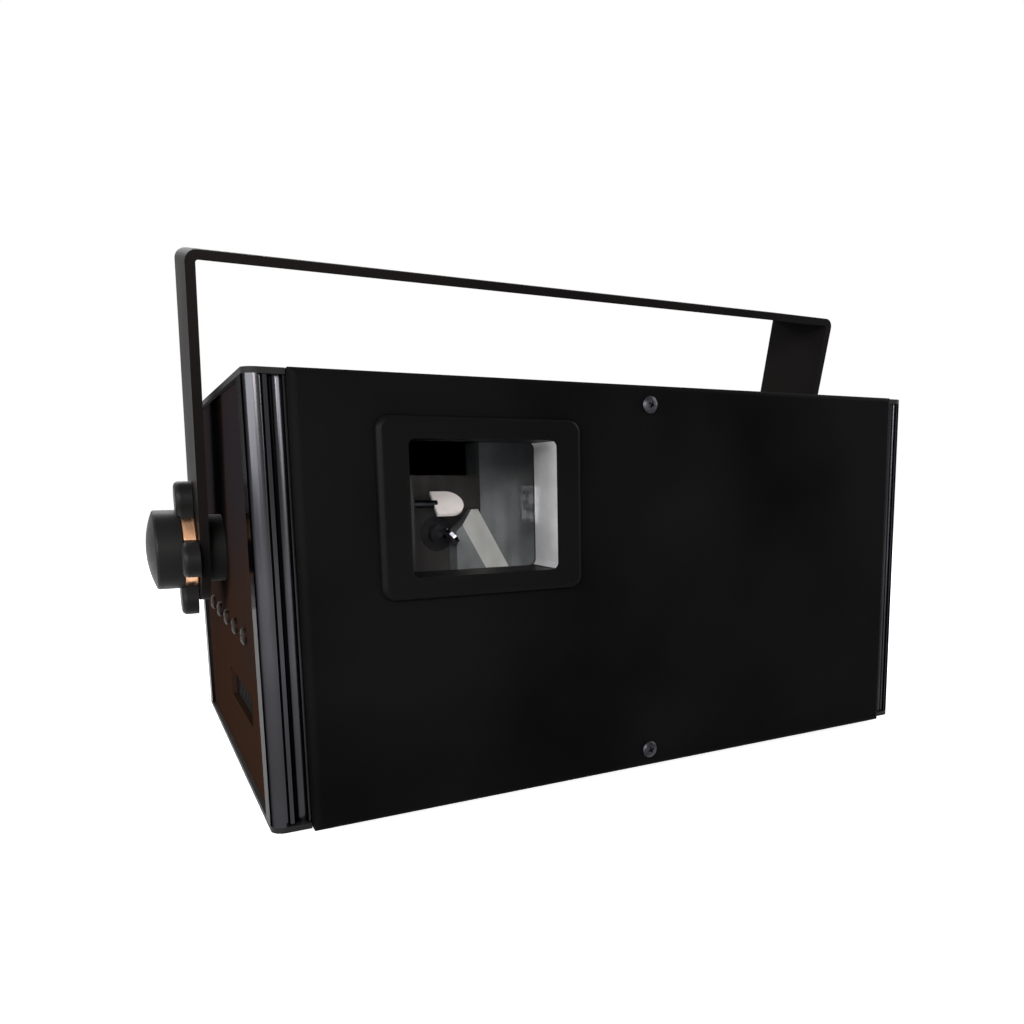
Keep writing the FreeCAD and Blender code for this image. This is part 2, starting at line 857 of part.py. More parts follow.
def scanner_bracket():
    """The upright beside the scanner, with a gusset in front whose sloping edge is chamfered."""
    left = scan_x + bracket_left
    right = -mount_foot_radius - block_mount_gap
    low = base_top + block_floor
    high = scan_z - gusset_drop
    wall_front = x_motor_face()
    front = wall_front - gusset_thickness
    upright = block((scan_x + bracket_upright, wall_front, low),
                    (right, wall_front + block_wall, scan_z + bracket_above))
    ridge = left + gusset_shoulder
    outline = [
        point(left, wall_front, low), point(left, wall_front, high - gusset_shoulder),
        point(ridge, wall_front, high), point(ridge + gusset_flat, wall_front, high),
        point(ridge + gusset_flat + gusset_run, wall_front, low + gusset_foot),
        point(ridge + gusset_flat + gusset_run, wall_front, low),
    ]
    gusset = polygon_prism(outline, point(0, front - wall_front, 0))
    slope = outline[4] - outline[3]
    run = slope / slope.Length
    across = point(run.z, 0, -run.x)
    corner = outline[3] - run * gusset_chamfer_width
    corner.y = front
    wedge = [corner, corner + across * gusset_chamfer_width, corner + Y_AXIS * gusset_chamfer]
    gusset = gusset.cut(polygon_prism(wedge, run * (slope.Length + 2 * gusset_chamfer_width)))
    return upright.fuse(gusset).removeSplitter()


def galvo_motor():
    """A scanner motor along +Z: its face is on the XY plane, with a boss round the shaft towards -Z."""
    body = rod((0, 0, 0), Z_AXIS, motor_radius, motor_length)
    boss = rod((0, 0, -motor_boss), Z_AXIS, motor_boss_radius, motor_boss)
    start = (0, 0, -motor_boss - overrun)
    seat = rod(start, Z_AXIS, mirror_shaft_radius + fit_gap, mirror_shaft_seat + overrun)
    return body.fuse(boss).removeSplitter().cut(seat)


def scan_mirror(length, width, shaft):
    """A pill-shaped mirror in the YZ plane, centred on the origin, with its turning shaft along +Z."""
    half = length / 2
    end = width / 2
    plate_wire = Part.Wire([
        Part.makeLine(point(0, -end, half), point(0, -end, -half + end)),
        arc(point(0, -end, -half + end), point(0, 0, -half), point(0, end, -half + end)),
        Part.makeLine(point(0, end, -half + end), point(0, end, half)),
        Part.makeLine(point(0, end, half), point(0, -end, half)),
    ])
    mirror = Part.Face(plate_wire).extrude(point(scan_mirror_thickness, 0, 0))
    mirror.translate(point(-scan_mirror_thickness / 2, 0, 0))
    start = half - mirror_shaft_lap
    return mirror.fuse(rod((0, 0, start), Z_AXIS, mirror_shaft_radius, shaft + mirror_shaft_lap))


def x_motor_face():
    return scan_y + x_mirror_length / 2 + motor_reach + motor_boss


def x_scan_mirror():
    shaft = motor_reach + mirror_shaft_seat - fit_gap
    rotor = turned(scan_mirror(x_mirror_length, x_mirror_width, shaft), Z_AXIS, -45)
    return moved(turned(rotor, X_AXIS, -90), scan_x, scan_y, beam_z)


def x_galvo_motor():
    return moved(turned(galvo_motor(), X_AXIS, -90), scan_x, x_motor_face(), beam_z)


def y_motor_face():
    return scan_x - block_left_reach


def y_scan_mirror():
    shaft = block_left_reach - motor_boss - y_mirror_length / 2 + mirror_shaft_seat - fit_gap
    rotor = turned(scan_mirror(y_mirror_length, y_mirror_width, shaft), Z_AXIS, -45)
    return moved(turned(rotor, Y_AXIS, -90), scan_x, scan_y, scan_z)


def y_galvo_motor():
    return moved(turned(galvo_motor(), Y_AXIS, -90), y_motor_face(), scan_y, scan_z)


def laser_module(y):
    """A finned module that shines towards -X, with its nozzle at beam height."""
    low = (laser_x, y - laser_width / 2, base_top)
    body = block(low, (laser_x + laser_length, y + laser_width / 2, base_top + laser_height))
    pitch = laser_length / (laser_fin_count + 1)
    slots = []
    for i in range(laser_fin_count):
        start = laser_x + pitch * (i + 1) - pitch / 4
        slots.append(block((start, y - laser_width, base_top + laser_height - laser_fin_depth),
                           (start + pitch / 2, y + laser_width, base_top + laser_height + overrun)))
    body = body.cut(Part.makeCompound(slots))
    nozzle = rod((laser_x - nozzle_length, y, beam_z), X_AXIS, nozzle_radius, nozzle_length)
    bore = rod((laser_x - nozzle_length - overrun, y, beam_z), X_AXIS, nozzle_bore, nozzle_length + overrun)
    return body.fuse(nozzle).removeSplitter().cut(bore)


def laser_ys():
    return [front_y + share * body_depth for share in laser_y_shares]


def combiner_places():
    green, red, blue = laser_ys()
    return [(0, green), (0, red), (combiner_pitch, green), (combiner_pitch, blue)]


def mirror_mount():
    top = beam_z - combiner_below_beam - base_top
    foot = rod((0, 0, 0), Z_AXIS, mount_foot_radius, mount_foot_height)
    return foot.fuse(rod((0, 0, 0), Z_AXIS, mount_radius, top)).removeSplitter()


def mirror_mounts():
    return [moved(mirror_mount(), x, y, base_top) for x, y in combiner_places()]


def combining_mirrors():
    half = combiner_side / 2
    pane = block((-half, -combiner_thickness / 2, 0), (half, combiner_thickness / 2, combiner_side))
    pane = turned(pane, Z_AXIS, 45)
    return [moved(pane, x, y, beam_z - combiner_below_beam) for x, y in combiner_places()]


# Power supply and boards

def power_supply():
    left = -half_width + foot_inset + supply_foot_gap
    low_y = front_y + supply_y
    high_y = low_y + supply_length
    case = block((left, low_y, inner_low), (left + supply_width, high_y, inner_low + supply_height))
    start = left + (supply_width - terminal_width) / 2
    strip = block((start, high_y, inner_low),
                  (start + terminal_width, high_y + terminal_depth, inner_low + terminal_height))
    return case.fuse(strip).removeSplitter()


def driver_left():
    return half_width - driver_side_gap - driver_width


def driver_pillars():
    pillars = []
    low_y = front_y + driver_y
    for x in (driver_left() + pillar_inset, driver_left() + driver_width - pillar_inset):
        for y in (low_y + pillar_inset, low_y + driver_length - pillar_inset):
            pillars.append(rod((x, y, inner_low), Z_AXIS, pillar_radius, pillar_height))
    return pillars


def scanner_driver():
    low_y = front_y + driver_y
    low_z = inner_low + pillar_height
    top = low_z + board
    card = block((driver_left(), low_y, low_z), (driver_left() + driver_width, low_y + driver_length, top))
    left = driver_left() + (driver_width - driver_sink_length) / 2
    right = left + driver_sink_length
    for i in range(driver_sink_count):
        start = low_y + driver_sink_inset + i * driver_sink_pitch
        sink = block((left, start, top), (right, start + driver_sink_width, top + driver_sink_height))
        card = card.fuse(sink)
    return card.removeSplitter()


# Rear panel and its fittings

def rear_place(shares):
    """X and Z of a fitting on the rear panel."""
    return shares[0] * half_width, floor_z + shares[1] * body_height


def facing_back(shape, place):
    """Turns a shape drawn with +Z out of the panel so that +Z becomes +Y and its +Y stays up."""
    outward = turned(turned(shape, Z_AXIS, 180), X_AXIS, -90)
    return moved(outward, place[0], rear_y, place[1])


def rear_hole(place, radius):
    return rod((place[0], rear_inner - overrun, place[1]), Y_AXIS, radius, panel + 2 * overrun)


def rear_slot(place, width, height):
    x, z = place
    low = (x - width / 2, rear_inner - overrun, z - height / 2)
    return block(low, (x + width / 2, rear_y + overrun, z + height / 2))


def button_places():
    z = rear_place(display_shares)[1]
    return [(button_x_share * half_width + button_pitch * i, z) for i in range(button_count)]


fan_place = rear_place(fan_shares)
inlet_place = rear_place(inlet_shares)
switch_place = rear_place(switch_shares)
signal_in_place = rear_place(signal_in_shares)
signal_out_place = rear_place(signal_out_shares)
port_place = rear_place(port_shares)
lock_place = rear_place(lock_shares)
display_place = rear_place(display_shares)
eye_place = rear_place(eye_shares)


def rear_panel():
    sheet = block((-panel_half, rear_inner, inner_low), (panel_half, rear_y, inner_high))
    inlet_side = inlet_wall + fit_gap
    switch_side = rocker_gap + switch_wall + fit_gap
    cuts = [panel_screw_hole(floor_z + panel_screw_edge), panel_screw_hole(roof_z - panel_screw_edge)]
    cuts += [
        rear_hole(fan_place, fan_bore_radius),
        rear_slot(inlet_place, inlet_width + 2 * inlet_side, inlet_height + 2 * inlet_side),
        rear_slot(switch_place, switch_width + 2 * switch_side, switch_height + 2 * switch_side),
        rear_slot(port_place, port_body_length + 2 * fit_gap, port_body_height + 2 * fit_gap),
        rear_hole(lock_place, lock_body_radius + fit_gap),
        rear_slot(display_place, display_length + 2 * fit_gap, display_height + 2 * fit_gap),
    ]
    cuts += [rear_hole(place, socket_shell_radius + fit_gap) for place in (signal_in_place, signal_out_place)]
    cuts += [rear_hole(place, button_radius + button_hole_gap) for place in button_places()]
    return sheet.cut(Part.makeCompound(cuts))


def fan_corner_holes(depth):
    reach = fan_side / 2 - fan_hole_inset
    places = [(x, y, -overrun) for x in (-reach, reach) for y in (-reach, reach)]
    return [rod(place, Z_AXIS, fan_hole_radius, depth + 2 * overrun) for place in places]


def fan_frame():
    """The fan's square frame from the panel's inner face inwards; drawn with +Z towards the panel."""
    half = fan_side / 2
    frame = block((-half, -half, 0), (half, half, fan_depth))
    frame = frame.makeFillet(fan_corner, edges_along(frame, Z_AXIS, lambda middle: True))
    frame = frame.cut(rod((0, 0, -overrun), Z_AXIS, fan_bore_radius, fan_depth + 2 * overrun))
    frame = frame.cut(Part.makeCompound(fan_corner_holes(fan_depth)))
    core = rod((0, 0, 0), Z_AXIS, fan_hub_radius, fan_core_height)
    for angle in (45, -45):
        arm = block((-half, -fan_arm_width / 2, 0), (half, fan_arm_width / 2, fan_core_height))
        core = core.fuse(turned(arm, Z_AXIS, angle))
    inside = rod((0, 0, -overrun), Z_AXIS, fan_bore_radius + fan_corner / 2, fan_depth)
    pin = rod((0, 0, 0), Z_AXIS, fan_pin_radius, fan_core_height + fan_pin_length)
    frame = frame.fuse(core.common(inside)).fuse(pin)
    return moved(facing_back(frame.removeSplitter(), fan_place), 0, -panel - fan_depth, 0)


def fan_rotor():
    low = fan_core_height + fan_end_play
    hub = rod((0, 0, low), Z_AXIS, fan_hub_radius, fan_hub_height)
    swept = rod((0, 0, low), Z_AXIS, fan_blade_radius, fan_hub_height)
    middle = low + fan_hub_height / 2
    half = fan_blade_thickness / 2
    blades = []
    for k in range(fan_blade_count):
        blade = block((0, -fan_hub_height, -half), (fan_side, fan_hub_height, half))
        blade = turned(turned(blade, X_AXIS, fan_blade_degrees), Z_AXIS, 360 * k / fan_blade_count)
        blades.append(moved(blade, 0, 0, middle).common(swept))
    rotor = hub.fuse(blades)
    rotor = rotor.cut(rod((0, 0, low - overrun), Z_AXIS, fan_pin_radius + fit_gap, fan_pin_length + overrun))
    return moved(facing_back(rotor.removeSplitter(), fan_place), 0, -panel - fan_depth, 0)


def fan_guard():
    half = guard_side / 2
    frame = block((-half, -half, 0), (half, half, guard_sheet))
    frame = frame.makeFillet(fan_corner, edges_along(frame, Z_AXIS, lambda middle: True))
    frame = frame.cut(rod((0, 0, -overrun), Z_AXIS, fan_bore_radius, guard_sheet + 2 * overrun))
    rings = []
    for radius in guard_ring_radii:
        ring = rod((0, 0, 0), Z_AXIS, radius, guard_sheet)
        hole = rod((0, 0, -overrun), Z_AXIS, radius - guard_ring_width, guard_sheet + 2 * overrun)
        rings.append(ring.cut(hole))
    clear = min(guard_ring_radii) - guard_ring_width / 2
    inner = rod((0, 0, -overrun), Z_AXIS, clear, guard_sheet + 2 * overrun)
    spokes = []
    for angle in (0, 90):
        spoke = block((-half, -guard_ring_width / 2, 0), (half, guard_ring_width / 2, guard_sheet))
        spokes.append(turned(spoke, Z_AXIS, angle).cut(inner))
    guard = frame.fuse(rings + spokes).cut(Part.makeCompound(fan_corner_holes(guard_sheet)))
    return facing_back(guard.removeSplitter(), fan_place)


def inlet_prism(width, height, low, high):
    """A box with its two upper corners bevelled, along Z."""
    w, h = width / 2, height / 2
    side = h - inlet_bevel
    end = w - inlet_bevel
    corners = [(-w, -h), (w, -h), (w, side), (end, h), (-end, h), (-w, side)]
    return polygon_prism([point(x, y, low) for x, y in corners], point(0, 0, high - low))


def power_inlet():
    wide = inlet_width + 2 * inlet_wall
    high = inlet_height + 2 * inlet_wall
    back = inlet_flange - inlet_depth
    flange = block((-wide / 2 - inlet_flange_lap, -high / 2 - inlet_flange_lap, 0),
                   (wide / 2 + inlet_flange_lap, high / 2 + inlet_flange_lap, inlet_flange))
    flange = flange.makeFillet(inlet_flange_lap, edges_along(flange, Z_AXIS, lambda middle: True))
    body = flange.fuse(block((-wide / 2, -high / 2, back - inlet_back), (wide / 2, high / 2, 0)))
    body = body.cut(inlet_prism(inlet_width, inlet_height, back, inlet_flange + overrun))
    side = inlet_pin_thickness / 2
    tall = inlet_pin_height / 2
    drop = -inlet_pin_offset
    for x, y in ((-inlet_pin_spread, drop), (0, -drop), (inlet_pin_spread, drop)):
        pin = block((x - side, y - tall, back - overrun), (x + side, y + tall, back + inlet_pin_length))
        body = body.fuse(pin)
    return facing_back(body.removeSplitter(), inlet_place)


def power_switch():
    width = switch_width + 2 * rocker_gap
    height = switch_height + 2 * rocker_gap
    wide = width + 2 * switch_wall
    high = height + 2 * switch_wall
    flange = block((-wide / 2 - switch_flange_lap, -high / 2 - switch_flange_lap, 0),
                   (wide / 2 + switch_flange_lap, high / 2 + switch_flange_lap, switch_flange))
    body = flange.fuse(block((-wide / 2, -high / 2, -switch_depth), (wide / 2, high / 2, 0)))
    low = (-width / 2, -height / 2, switch_wall - switch_depth)
    body = body.cut(block(low, (width / 2, height / 2, switch_flange + overrun)))
    reach = switch_width / 2 + rocker_pin_length + rocker_gap
    axle = rod((-reach, 0, -rocker_axis_depth), X_AXIS, rocker_pin_radius + running_gap, 2 * reach)
    return facing_back(body.removeSplitter().cut(axle), switch_place)


def power_rocker():
    """A dished rocker that turns on stub pins along X, pressed down at its lower end."""
    half = switch_height / 2 - rocker_end_gap
    crest = switch_flange + rocker_rise
    side = -switch_width / 2
    outline = [point(side, -half, crest), point(side, 0, crest - rocker_dip), point(side, half, crest),
               point(side, half / 2, -rocker_depth), point(side, -half / 2, -rocker_depth)]
    rocker = polygon_prism(outline, point(switch_width, 0, 0))
    reach = switch_width / 2 + rocker_pin_length
    rocker = rocker.fuse(rod((-reach, 0, -rocker_axis_depth), X_AXIS, rocker_pin_radius, 2 * reach))
    rocker = turned(rocker.removeSplitter(), X_AXIS, rocker_throw_degrees, point(0, 0, -rocker_axis_depth))
    return facing_back(rocker, switch_place)


def socket_body():
    """A round signal socket on a rounded flange, open towards +Z."""
    flange = rounded_plate(socket_flange_width, socket_flange_height, socket_flange_corner, socket_flange)
    back = socket_flange - socket_depth
    shell = rod((0, 0, back - socket_back), Z_AXIS, socket_shell_radius, socket_depth + socket_back)
    body = turned(flange, X_AXIS, 90).fuse(shell).removeSplitter()
    return body.cut(rod((0, 0, back), Z_AXIS, socket_bore_radius, socket_depth + overrun))


def contact_places():
    return [polar(contact_circle, pi / 2 + 2 * pi * k / contact_count) for k in range(contact_count)]


def signal_in_socket():
    body = socket_body()
    back = socket_flange - socket_depth
    for place in contact_places():
        start = (place.x, place.y, back - overrun)
        body = body.fuse(rod(start, Z_AXIS, contact_radius, contact_length + overrun))
    return facing_back(body.removeSplitter(), signal_in_place)


def signal_out_socket():
    back = socket_flange - socket_depth
    top = socket_flange - socket_insert_drop
    insert = rod((0, 0, back - overrun), Z_AXIS, socket_insert_radius, top - back + overrun)
    low = top - contact_hole_depth
    for place in contact_places():
        hole = rod((place.x, place.y, low), Z_AXIS, contact_radius, contact_hole_depth + overrun)
        insert = insert.cut(hole)
    return facing_back(socket_body().fuse(insert).removeSplitter(), signal_out_place)


def control_port():
    """A 25-way D-shaped port: body behind the panel, flange and tapered shell outside, two jack posts."""
    body = block((-port_body_length / 2, -port_body_height / 2, -port_body_depth),
                 (port_body_length / 2, port_body_height / 2, 0))
    flange = rounded_plate(port_flange_length, port_flange_height, port_flange, port_flange)
    body = body.fuse(turned(flange, X_AXIS, 90))
    top = port_shell_length / 2
    low = top - port_shell_slope
    high = port_shell_height / 2
    corners = [(-low, -high), (low, -high), (top, high), (-top, high)]
    outline = [point(x, y, port_flange) for x, y in corners]
    body = body.fuse(polygon_prism(outline, point(0, 0, port_shell_proud)))
    post_x = (port_flange_length + port_shell_length) / 4
    for x in (-post_x, post_x):
        body = body.fuse(rod((x, 0, port_flange), Z_AXIS, port_post_radius, port_post_height))
    return facing_back(body.removeSplitter(), port_place)


def key_lock():
    body = rod((0, 0, -lock_body_depth), Z_AXIS, lock_body_radius, lock_body_depth)
    flange = rod((0, 0, 0), Z_AXIS, lock_flange_radius, lock_flange)
    flange = flange.makeChamfer(lock_chamfer, [e for e in flange.Edges if e.BoundBox.ZMin > lock_flange / 2])
    seat = lock_flange - lock_plug_depth - lock_plug_inset
    bore = rod((0, 0, seat), Z_AXIS, lock_plug_radius + running_gap, lock_flange - seat + overrun)
    return facing_back(body.fuse(flange).removeSplitter().cut(bore), lock_place)


def key_plug():
    top = lock_flange - lock_plug_inset
    plug = rod((0, 0, top - lock_plug_depth), Z_AXIS, lock_plug_radius, lock_plug_depth)
    slot = block((-key_slot_width / 2, -key_slot_height / 2, top - key_slot_depth),
                 (key_slot_width / 2, key_slot_height / 2, top + overrun))
    return facing_back(plug.cut(slot), lock_place)


def display_window():
    """A dark lens that fills its cut-out and laps behind the panel."""
    half = display_length / 2
    tall = display_height / 2
    lens = block((-half, -tall, -panel), (half, tall, display_proud))
    lap = block((-half - display_lap, -tall - display_lap, -panel - display_rim),
                (half + display_lap, tall + display_lap, -panel))
    return facing_back(lens.fuse(lap).removeSplitter(), display_place)


def stem_end():
    return panel + button_collar + button_travel


def menu_button(place):
    cap = rod((0, 0, -panel - button_collar), Z_AXIS, button_radius, panel + button_collar + button_proud)
    cap = cap.makeFillet(button_round, [e for e in cap.Edges if e.BoundBox.ZMin > 0])
    collar = rod((0, 0, -panel - button_collar), Z_AXIS, button_collar_radius, button_collar)
    stem = rod((0, 0, -stem_end()), Z_AXIS, button_stem_radius, button_travel)
    return facing_back(cap.fuse(collar).fuse(stem).removeSplitter(), place)


def control_ends():
    """The board reaches from past the display to past the last button."""
    low = display_place[0] - display_length / 2 - display_lap - pillar_inset - control_end
    return low, max(place[0] for place in button_places()) + button_collar_radius + control_end


def control_length():
    return control_ends()[1] - control_ends()[0]


def control_place():
    return sum(control_ends()) / 2, display_place[1]


def control_face():
    return -stem_end() - button_travel - switch_can_height


def control_board():
    """The board behind the display and the buttons, with one push switch for each button."""
    face = control_face()
    half = control_length() / 2
    can = switch_can_side / 2
    card = block((-half, -control_height / 2, face - board), (half, control_height / 2, face))
    middle = control_place()[0]
    for place in button_places():
        x = middle - place[0]
        card = card.fuse(block((x - can, -can, face), (x + can, can, face + switch_can_height)))
    lens_back = -panel - display_rim
    x = middle - display_place[0]
    card = card.fuse(block((x - display_length / 2, -display_height / 2, face),
                           (x + display_length / 2, display_height / 2, lens_back)))
    return facing_back(card.removeSplitter(), control_place())


def control_pillars():
    face = control_face()
    side = control_length() / 2 - pillar_inset
    tall = control_height / 2 - pillar_radius
    places = [(x, y, face) for x in (-side, side) for y in (-tall, tall)]
    pillars = [rod(place, Z_AXIS, pillar_radius, -panel - face) for place in places]
    return [facing_back(pillar, control_place()) for pillar in pillars]


def safety_eye():
    """A base on the rear panel with a pierced tab that stands out along the middle."""
    base = block((-eye_base_width / 2, -eye_base_height / 2, 0),
                 (eye_base_width / 2, eye_base_height / 2, eye_sheet))
    base = base.makeFillet(eye_sheet, edges_along(base, Z_AXIS, lambda middle: True))
    half = eye_tab_height / 2
    tab = block((-eye_sheet / 2, -half, 0), (eye_sheet / 2, half, eye_reach))
    tab = tab.makeFillet(half * eye_nose_share, edges_along(tab, X_AXIS, lambda middle: middle.z > eye_sheet))
    tab = tab.cut(rod((-eye_sheet, 0, eye_reach - half), X_AXIS, eye_radius, 2 * eye_sheet))
    return facing_back(base.fuse(tab).removeSplitter(), eye_place)


def pieces():
    left_grip = left_knob_grip()
    left_collar = left_knob_collar()
    green, red, blue = [laser_module(y) for y in laser_ys()]
    nodes = {
        "bottom_plate": [bottom_plate()], "top_cover": [top_cover()],
        "front_panel": [front_panel()], "rear_panel": [rear_panel()],
        "left_side_panel": [left_side_panel()], "right_side_panel": [mirrored(left_side_panel())],
        "front_left_post": [front_left_post()], "front_right_post": [mirrored(front_left_post())],
        "rear_left_post": [rear_left_post()], "rear_right_post": [mirrored(rear_left_post())],
        "panel_screws": panel_screws(), "cover_screws": cover_screws(), "shelf_screws": shelf_screws(),
        "vent_grilles": both_sides(left_vent_grille()), "rubber_feet": rubber_feet(),
        "window_bezel": [window_bezel()], "window_seal": [window_seal()],
        "window_glass": [window_glass()], "glass_clips": glass_clips(),
        "yoke": [yoke()],
        "left_knob_grip": [left_grip], "right_knob_grip": [mirrored(left_grip)],
        "left_knob_collar": [left_collar], "right_knob_collar": [mirrored(left_collar)],
        "pivot_studs": both_sides(left_pivot_stud()), "backing_plates": both_sides(left_backing_plate()),
        "pivot_spacers": both_sides(left_pivot_spacer()),
        "optical_base": [optical_base()],
        "scanner_block": [scanner_block()], "scanner_bracket": [scanner_bracket()],
        "x_galvo_motor": [x_galvo_motor()], "y_galvo_motor": [y_galvo_motor()],
        "x_scan_mirror": [x_scan_mirror()], "y_scan_mirror": [y_scan_mirror()],
        "green_laser": [green], "red_laser": [red], "blue_laser": [blue],
        "mirror_mounts": mirror_mounts(), "combining_mirrors": combining_mirrors(),
        "power_supply": [power_supply()], "scanner_driver": [scanner_driver()],
        "control_board": [control_board()], "board_pillars": driver_pillars() + control_pillars(),
        "fan_frame": [fan_frame()], "fan_rotor": [fan_rotor()], "fan_guard": [fan_guard()],
        "power_inlet": [power_inlet()], "power_switch": [power_switch()], "power_rocker": [power_rocker()],
        "signal_in_socket": [signal_in_socket()], "signal_out_socket": [signal_out_socket()],
        "control_port": [control_port()], "key_lock": [key_lock()], "key_plug": [key_plug()],
        "display_window": [display_window()], "safety_eye": [safety_eye()],
    }
    for number, place in enumerate(button_places(), start=1):
        nodes["menu_button_%d" % number] = [menu_button(place)]
    return nodes


def main():
    os.makedirs("parts", exist_ok=True)
    for name, solids in pieces().items():
        shape = solids[0] if len(solids) == 1 else Part.makeCompound(solids)
        shape.exportStep("parts/%s.step" % name)
        print(name, len(shape.Solids), shape.isValid(), round(shape.Volume / 1000, 2))


main()
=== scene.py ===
from math import cos, pi, radians, sin

import bmesh
import bpy
from mathutils import Matrix, Vector


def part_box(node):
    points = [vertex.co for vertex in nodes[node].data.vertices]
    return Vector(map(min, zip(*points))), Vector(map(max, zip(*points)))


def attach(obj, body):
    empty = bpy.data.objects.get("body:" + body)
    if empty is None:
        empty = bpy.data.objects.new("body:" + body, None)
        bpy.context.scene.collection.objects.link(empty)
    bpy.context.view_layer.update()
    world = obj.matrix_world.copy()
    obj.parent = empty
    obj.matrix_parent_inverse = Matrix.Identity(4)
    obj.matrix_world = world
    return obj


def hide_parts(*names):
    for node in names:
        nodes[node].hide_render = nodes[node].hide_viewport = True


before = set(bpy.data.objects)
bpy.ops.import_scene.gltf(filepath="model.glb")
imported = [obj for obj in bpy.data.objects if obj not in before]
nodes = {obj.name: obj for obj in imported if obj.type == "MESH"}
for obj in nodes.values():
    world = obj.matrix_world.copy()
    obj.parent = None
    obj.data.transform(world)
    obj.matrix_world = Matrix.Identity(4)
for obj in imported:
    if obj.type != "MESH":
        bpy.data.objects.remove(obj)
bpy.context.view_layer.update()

mm = 0.001
per_mm = 1000.0

# Places taken from the part's own solids
front_low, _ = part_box("front_panel")
front_face = front_low.y
_, rear_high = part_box("rear_panel")
rear_face = rear_high.y
guard_low, guard_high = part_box("fan_guard")
guard_middle = (guard_low + guard_high) / 2
eye_low, eye_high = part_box("safety_eye")
eye_middle = (eye_low + eye_high) / 2
inlet_low, inlet_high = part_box("power_inlet")
inlet_middle = (inlet_low + inlet_high) / 2
signal_in_low, signal_in_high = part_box("signal_in_socket")
signal_in_middle = (signal_in_low + signal_in_high) / 2
signal_out_low, signal_out_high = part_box("signal_out_socket")
signal_out_middle = (signal_out_low + signal_out_high) / 2
port_low, port_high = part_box("control_port")
port_middle = (port_low + port_high) / 2
collar_low, collar_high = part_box("left_knob_collar")
pivot = (collar_low + collar_high) / 2


# Camera: it stands left of the window, a little above the floor, and looks slightly down

camera_data = bpy.data.cameras.new("photo_camera")
camera = bpy.data.objects.new("photo_camera", camera_data)
bpy.context.scene.collection.objects.link(camera)
camera.location = (-0.18258, -0.39352, 0.11985)
camera.rotation_euler = (radians(81.519), radians(0.553), radians(-29.006))
camera_data.lens = 29.914
camera_data.shift_x = -0.0742
camera_data.shift_y = 0.0925
camera_data.clip_start = 0.01
bpy.context.scene.camera = camera


# Finishes

def linear(hex_colour):
    """An sRGB hex colour as linear red, green, blue and alpha."""
    parts = [int(hex_colour[i:i + 2], 16) / 255 for i in (1, 3, 5)]
    return tuple(c / 12.92 if c <= 0.04045 else ((c + 0.055) / 1.055) ** 2.4 for c in parts) + (1.0,)


def grey(value):
    """A linear grey of the given value."""
    return (value, value, value, 1.0)


def add(tree, kind, settings=(), links=()):
    """Adds one node, sets its sockets and properties, and links what feeds it."""
    node = tree.nodes.new(kind)
    for name, value in dict(settings).items():
        if name in node.inputs:
            node.inputs[name].default_value = value
        else:
            setattr(node, name, value)
    for name, source in dict(links).items():
        tree.links.new(source, node.inputs[name])
    return node


def empty_tree(owner):
    """The node tree of a material or a world, with nothing in it."""
    owner.use_nodes = True
    owner.node_tree.nodes.clear()
    return owner.node_tree


def new_finish(name):
    """A material with its shader and its output, and the object's own coordinates."""
    finish = bpy.data.materials.new(name)
    tree = empty_tree(finish)
    shader = add(tree, "ShaderNodeBsdfPrincipled")
    add(tree, "ShaderNodeOutputMaterial", {}, {"Surface": shader.outputs[0]})
    coords = add(tree, "ShaderNodeTexCoord").outputs["Object"]
    return finish, tree, shader, coords


def blend(tree, source, socket, low, high, start=0.3, end=0.7):
    """Drives a socket from one colour to another along a grey pattern."""
    ramp = add(tree, "ShaderNodeValToRGB", {}, {"Fac": source})
    ramp.color_ramp.elements[0].position = start
    ramp.color_ramp.elements[0].color = low
    ramp.color_ramp.elements[1].position = end
    ramp.color_ramp.elements[1].color = high
    tree.links.new(ramp.outputs["Color"], socket)


def ray_is(tree, *kinds):
    """One where the ray is of any of these kinds, and nought elsewhere."""
    rays = add(tree, "ShaderNodeLightPath")
    found = rays.outputs[kinds[0]]
    for kind in kinds[1:]:
        either = add(tree, "ShaderNodeMath", {"operation": "MAXIMUM"}, {0: found, 1: rays.outputs[kind]})
        found = either.outputs[0]
    return found


# Sizes of the patterns in mm, as they are drawn
smudge_size = 70
die_line_gap = 0.8
dye_cloud_size = 45
metal_cloud_size = 14
plating_bloom_size = 3
mould_flow_size = 16
mirror_haze_size = 8
glass_dust_size = 5
# Two meshes of the net of tracks, or four of its rows
track_net_size = 9
mask_cloud_size = 2
# Radians that Blender's wave texture advances in one unit of its scale
wave_rate = 20
# A grain that runs along Z is stretched by this scale
along_z = (1.0, 1.0, 0.01)


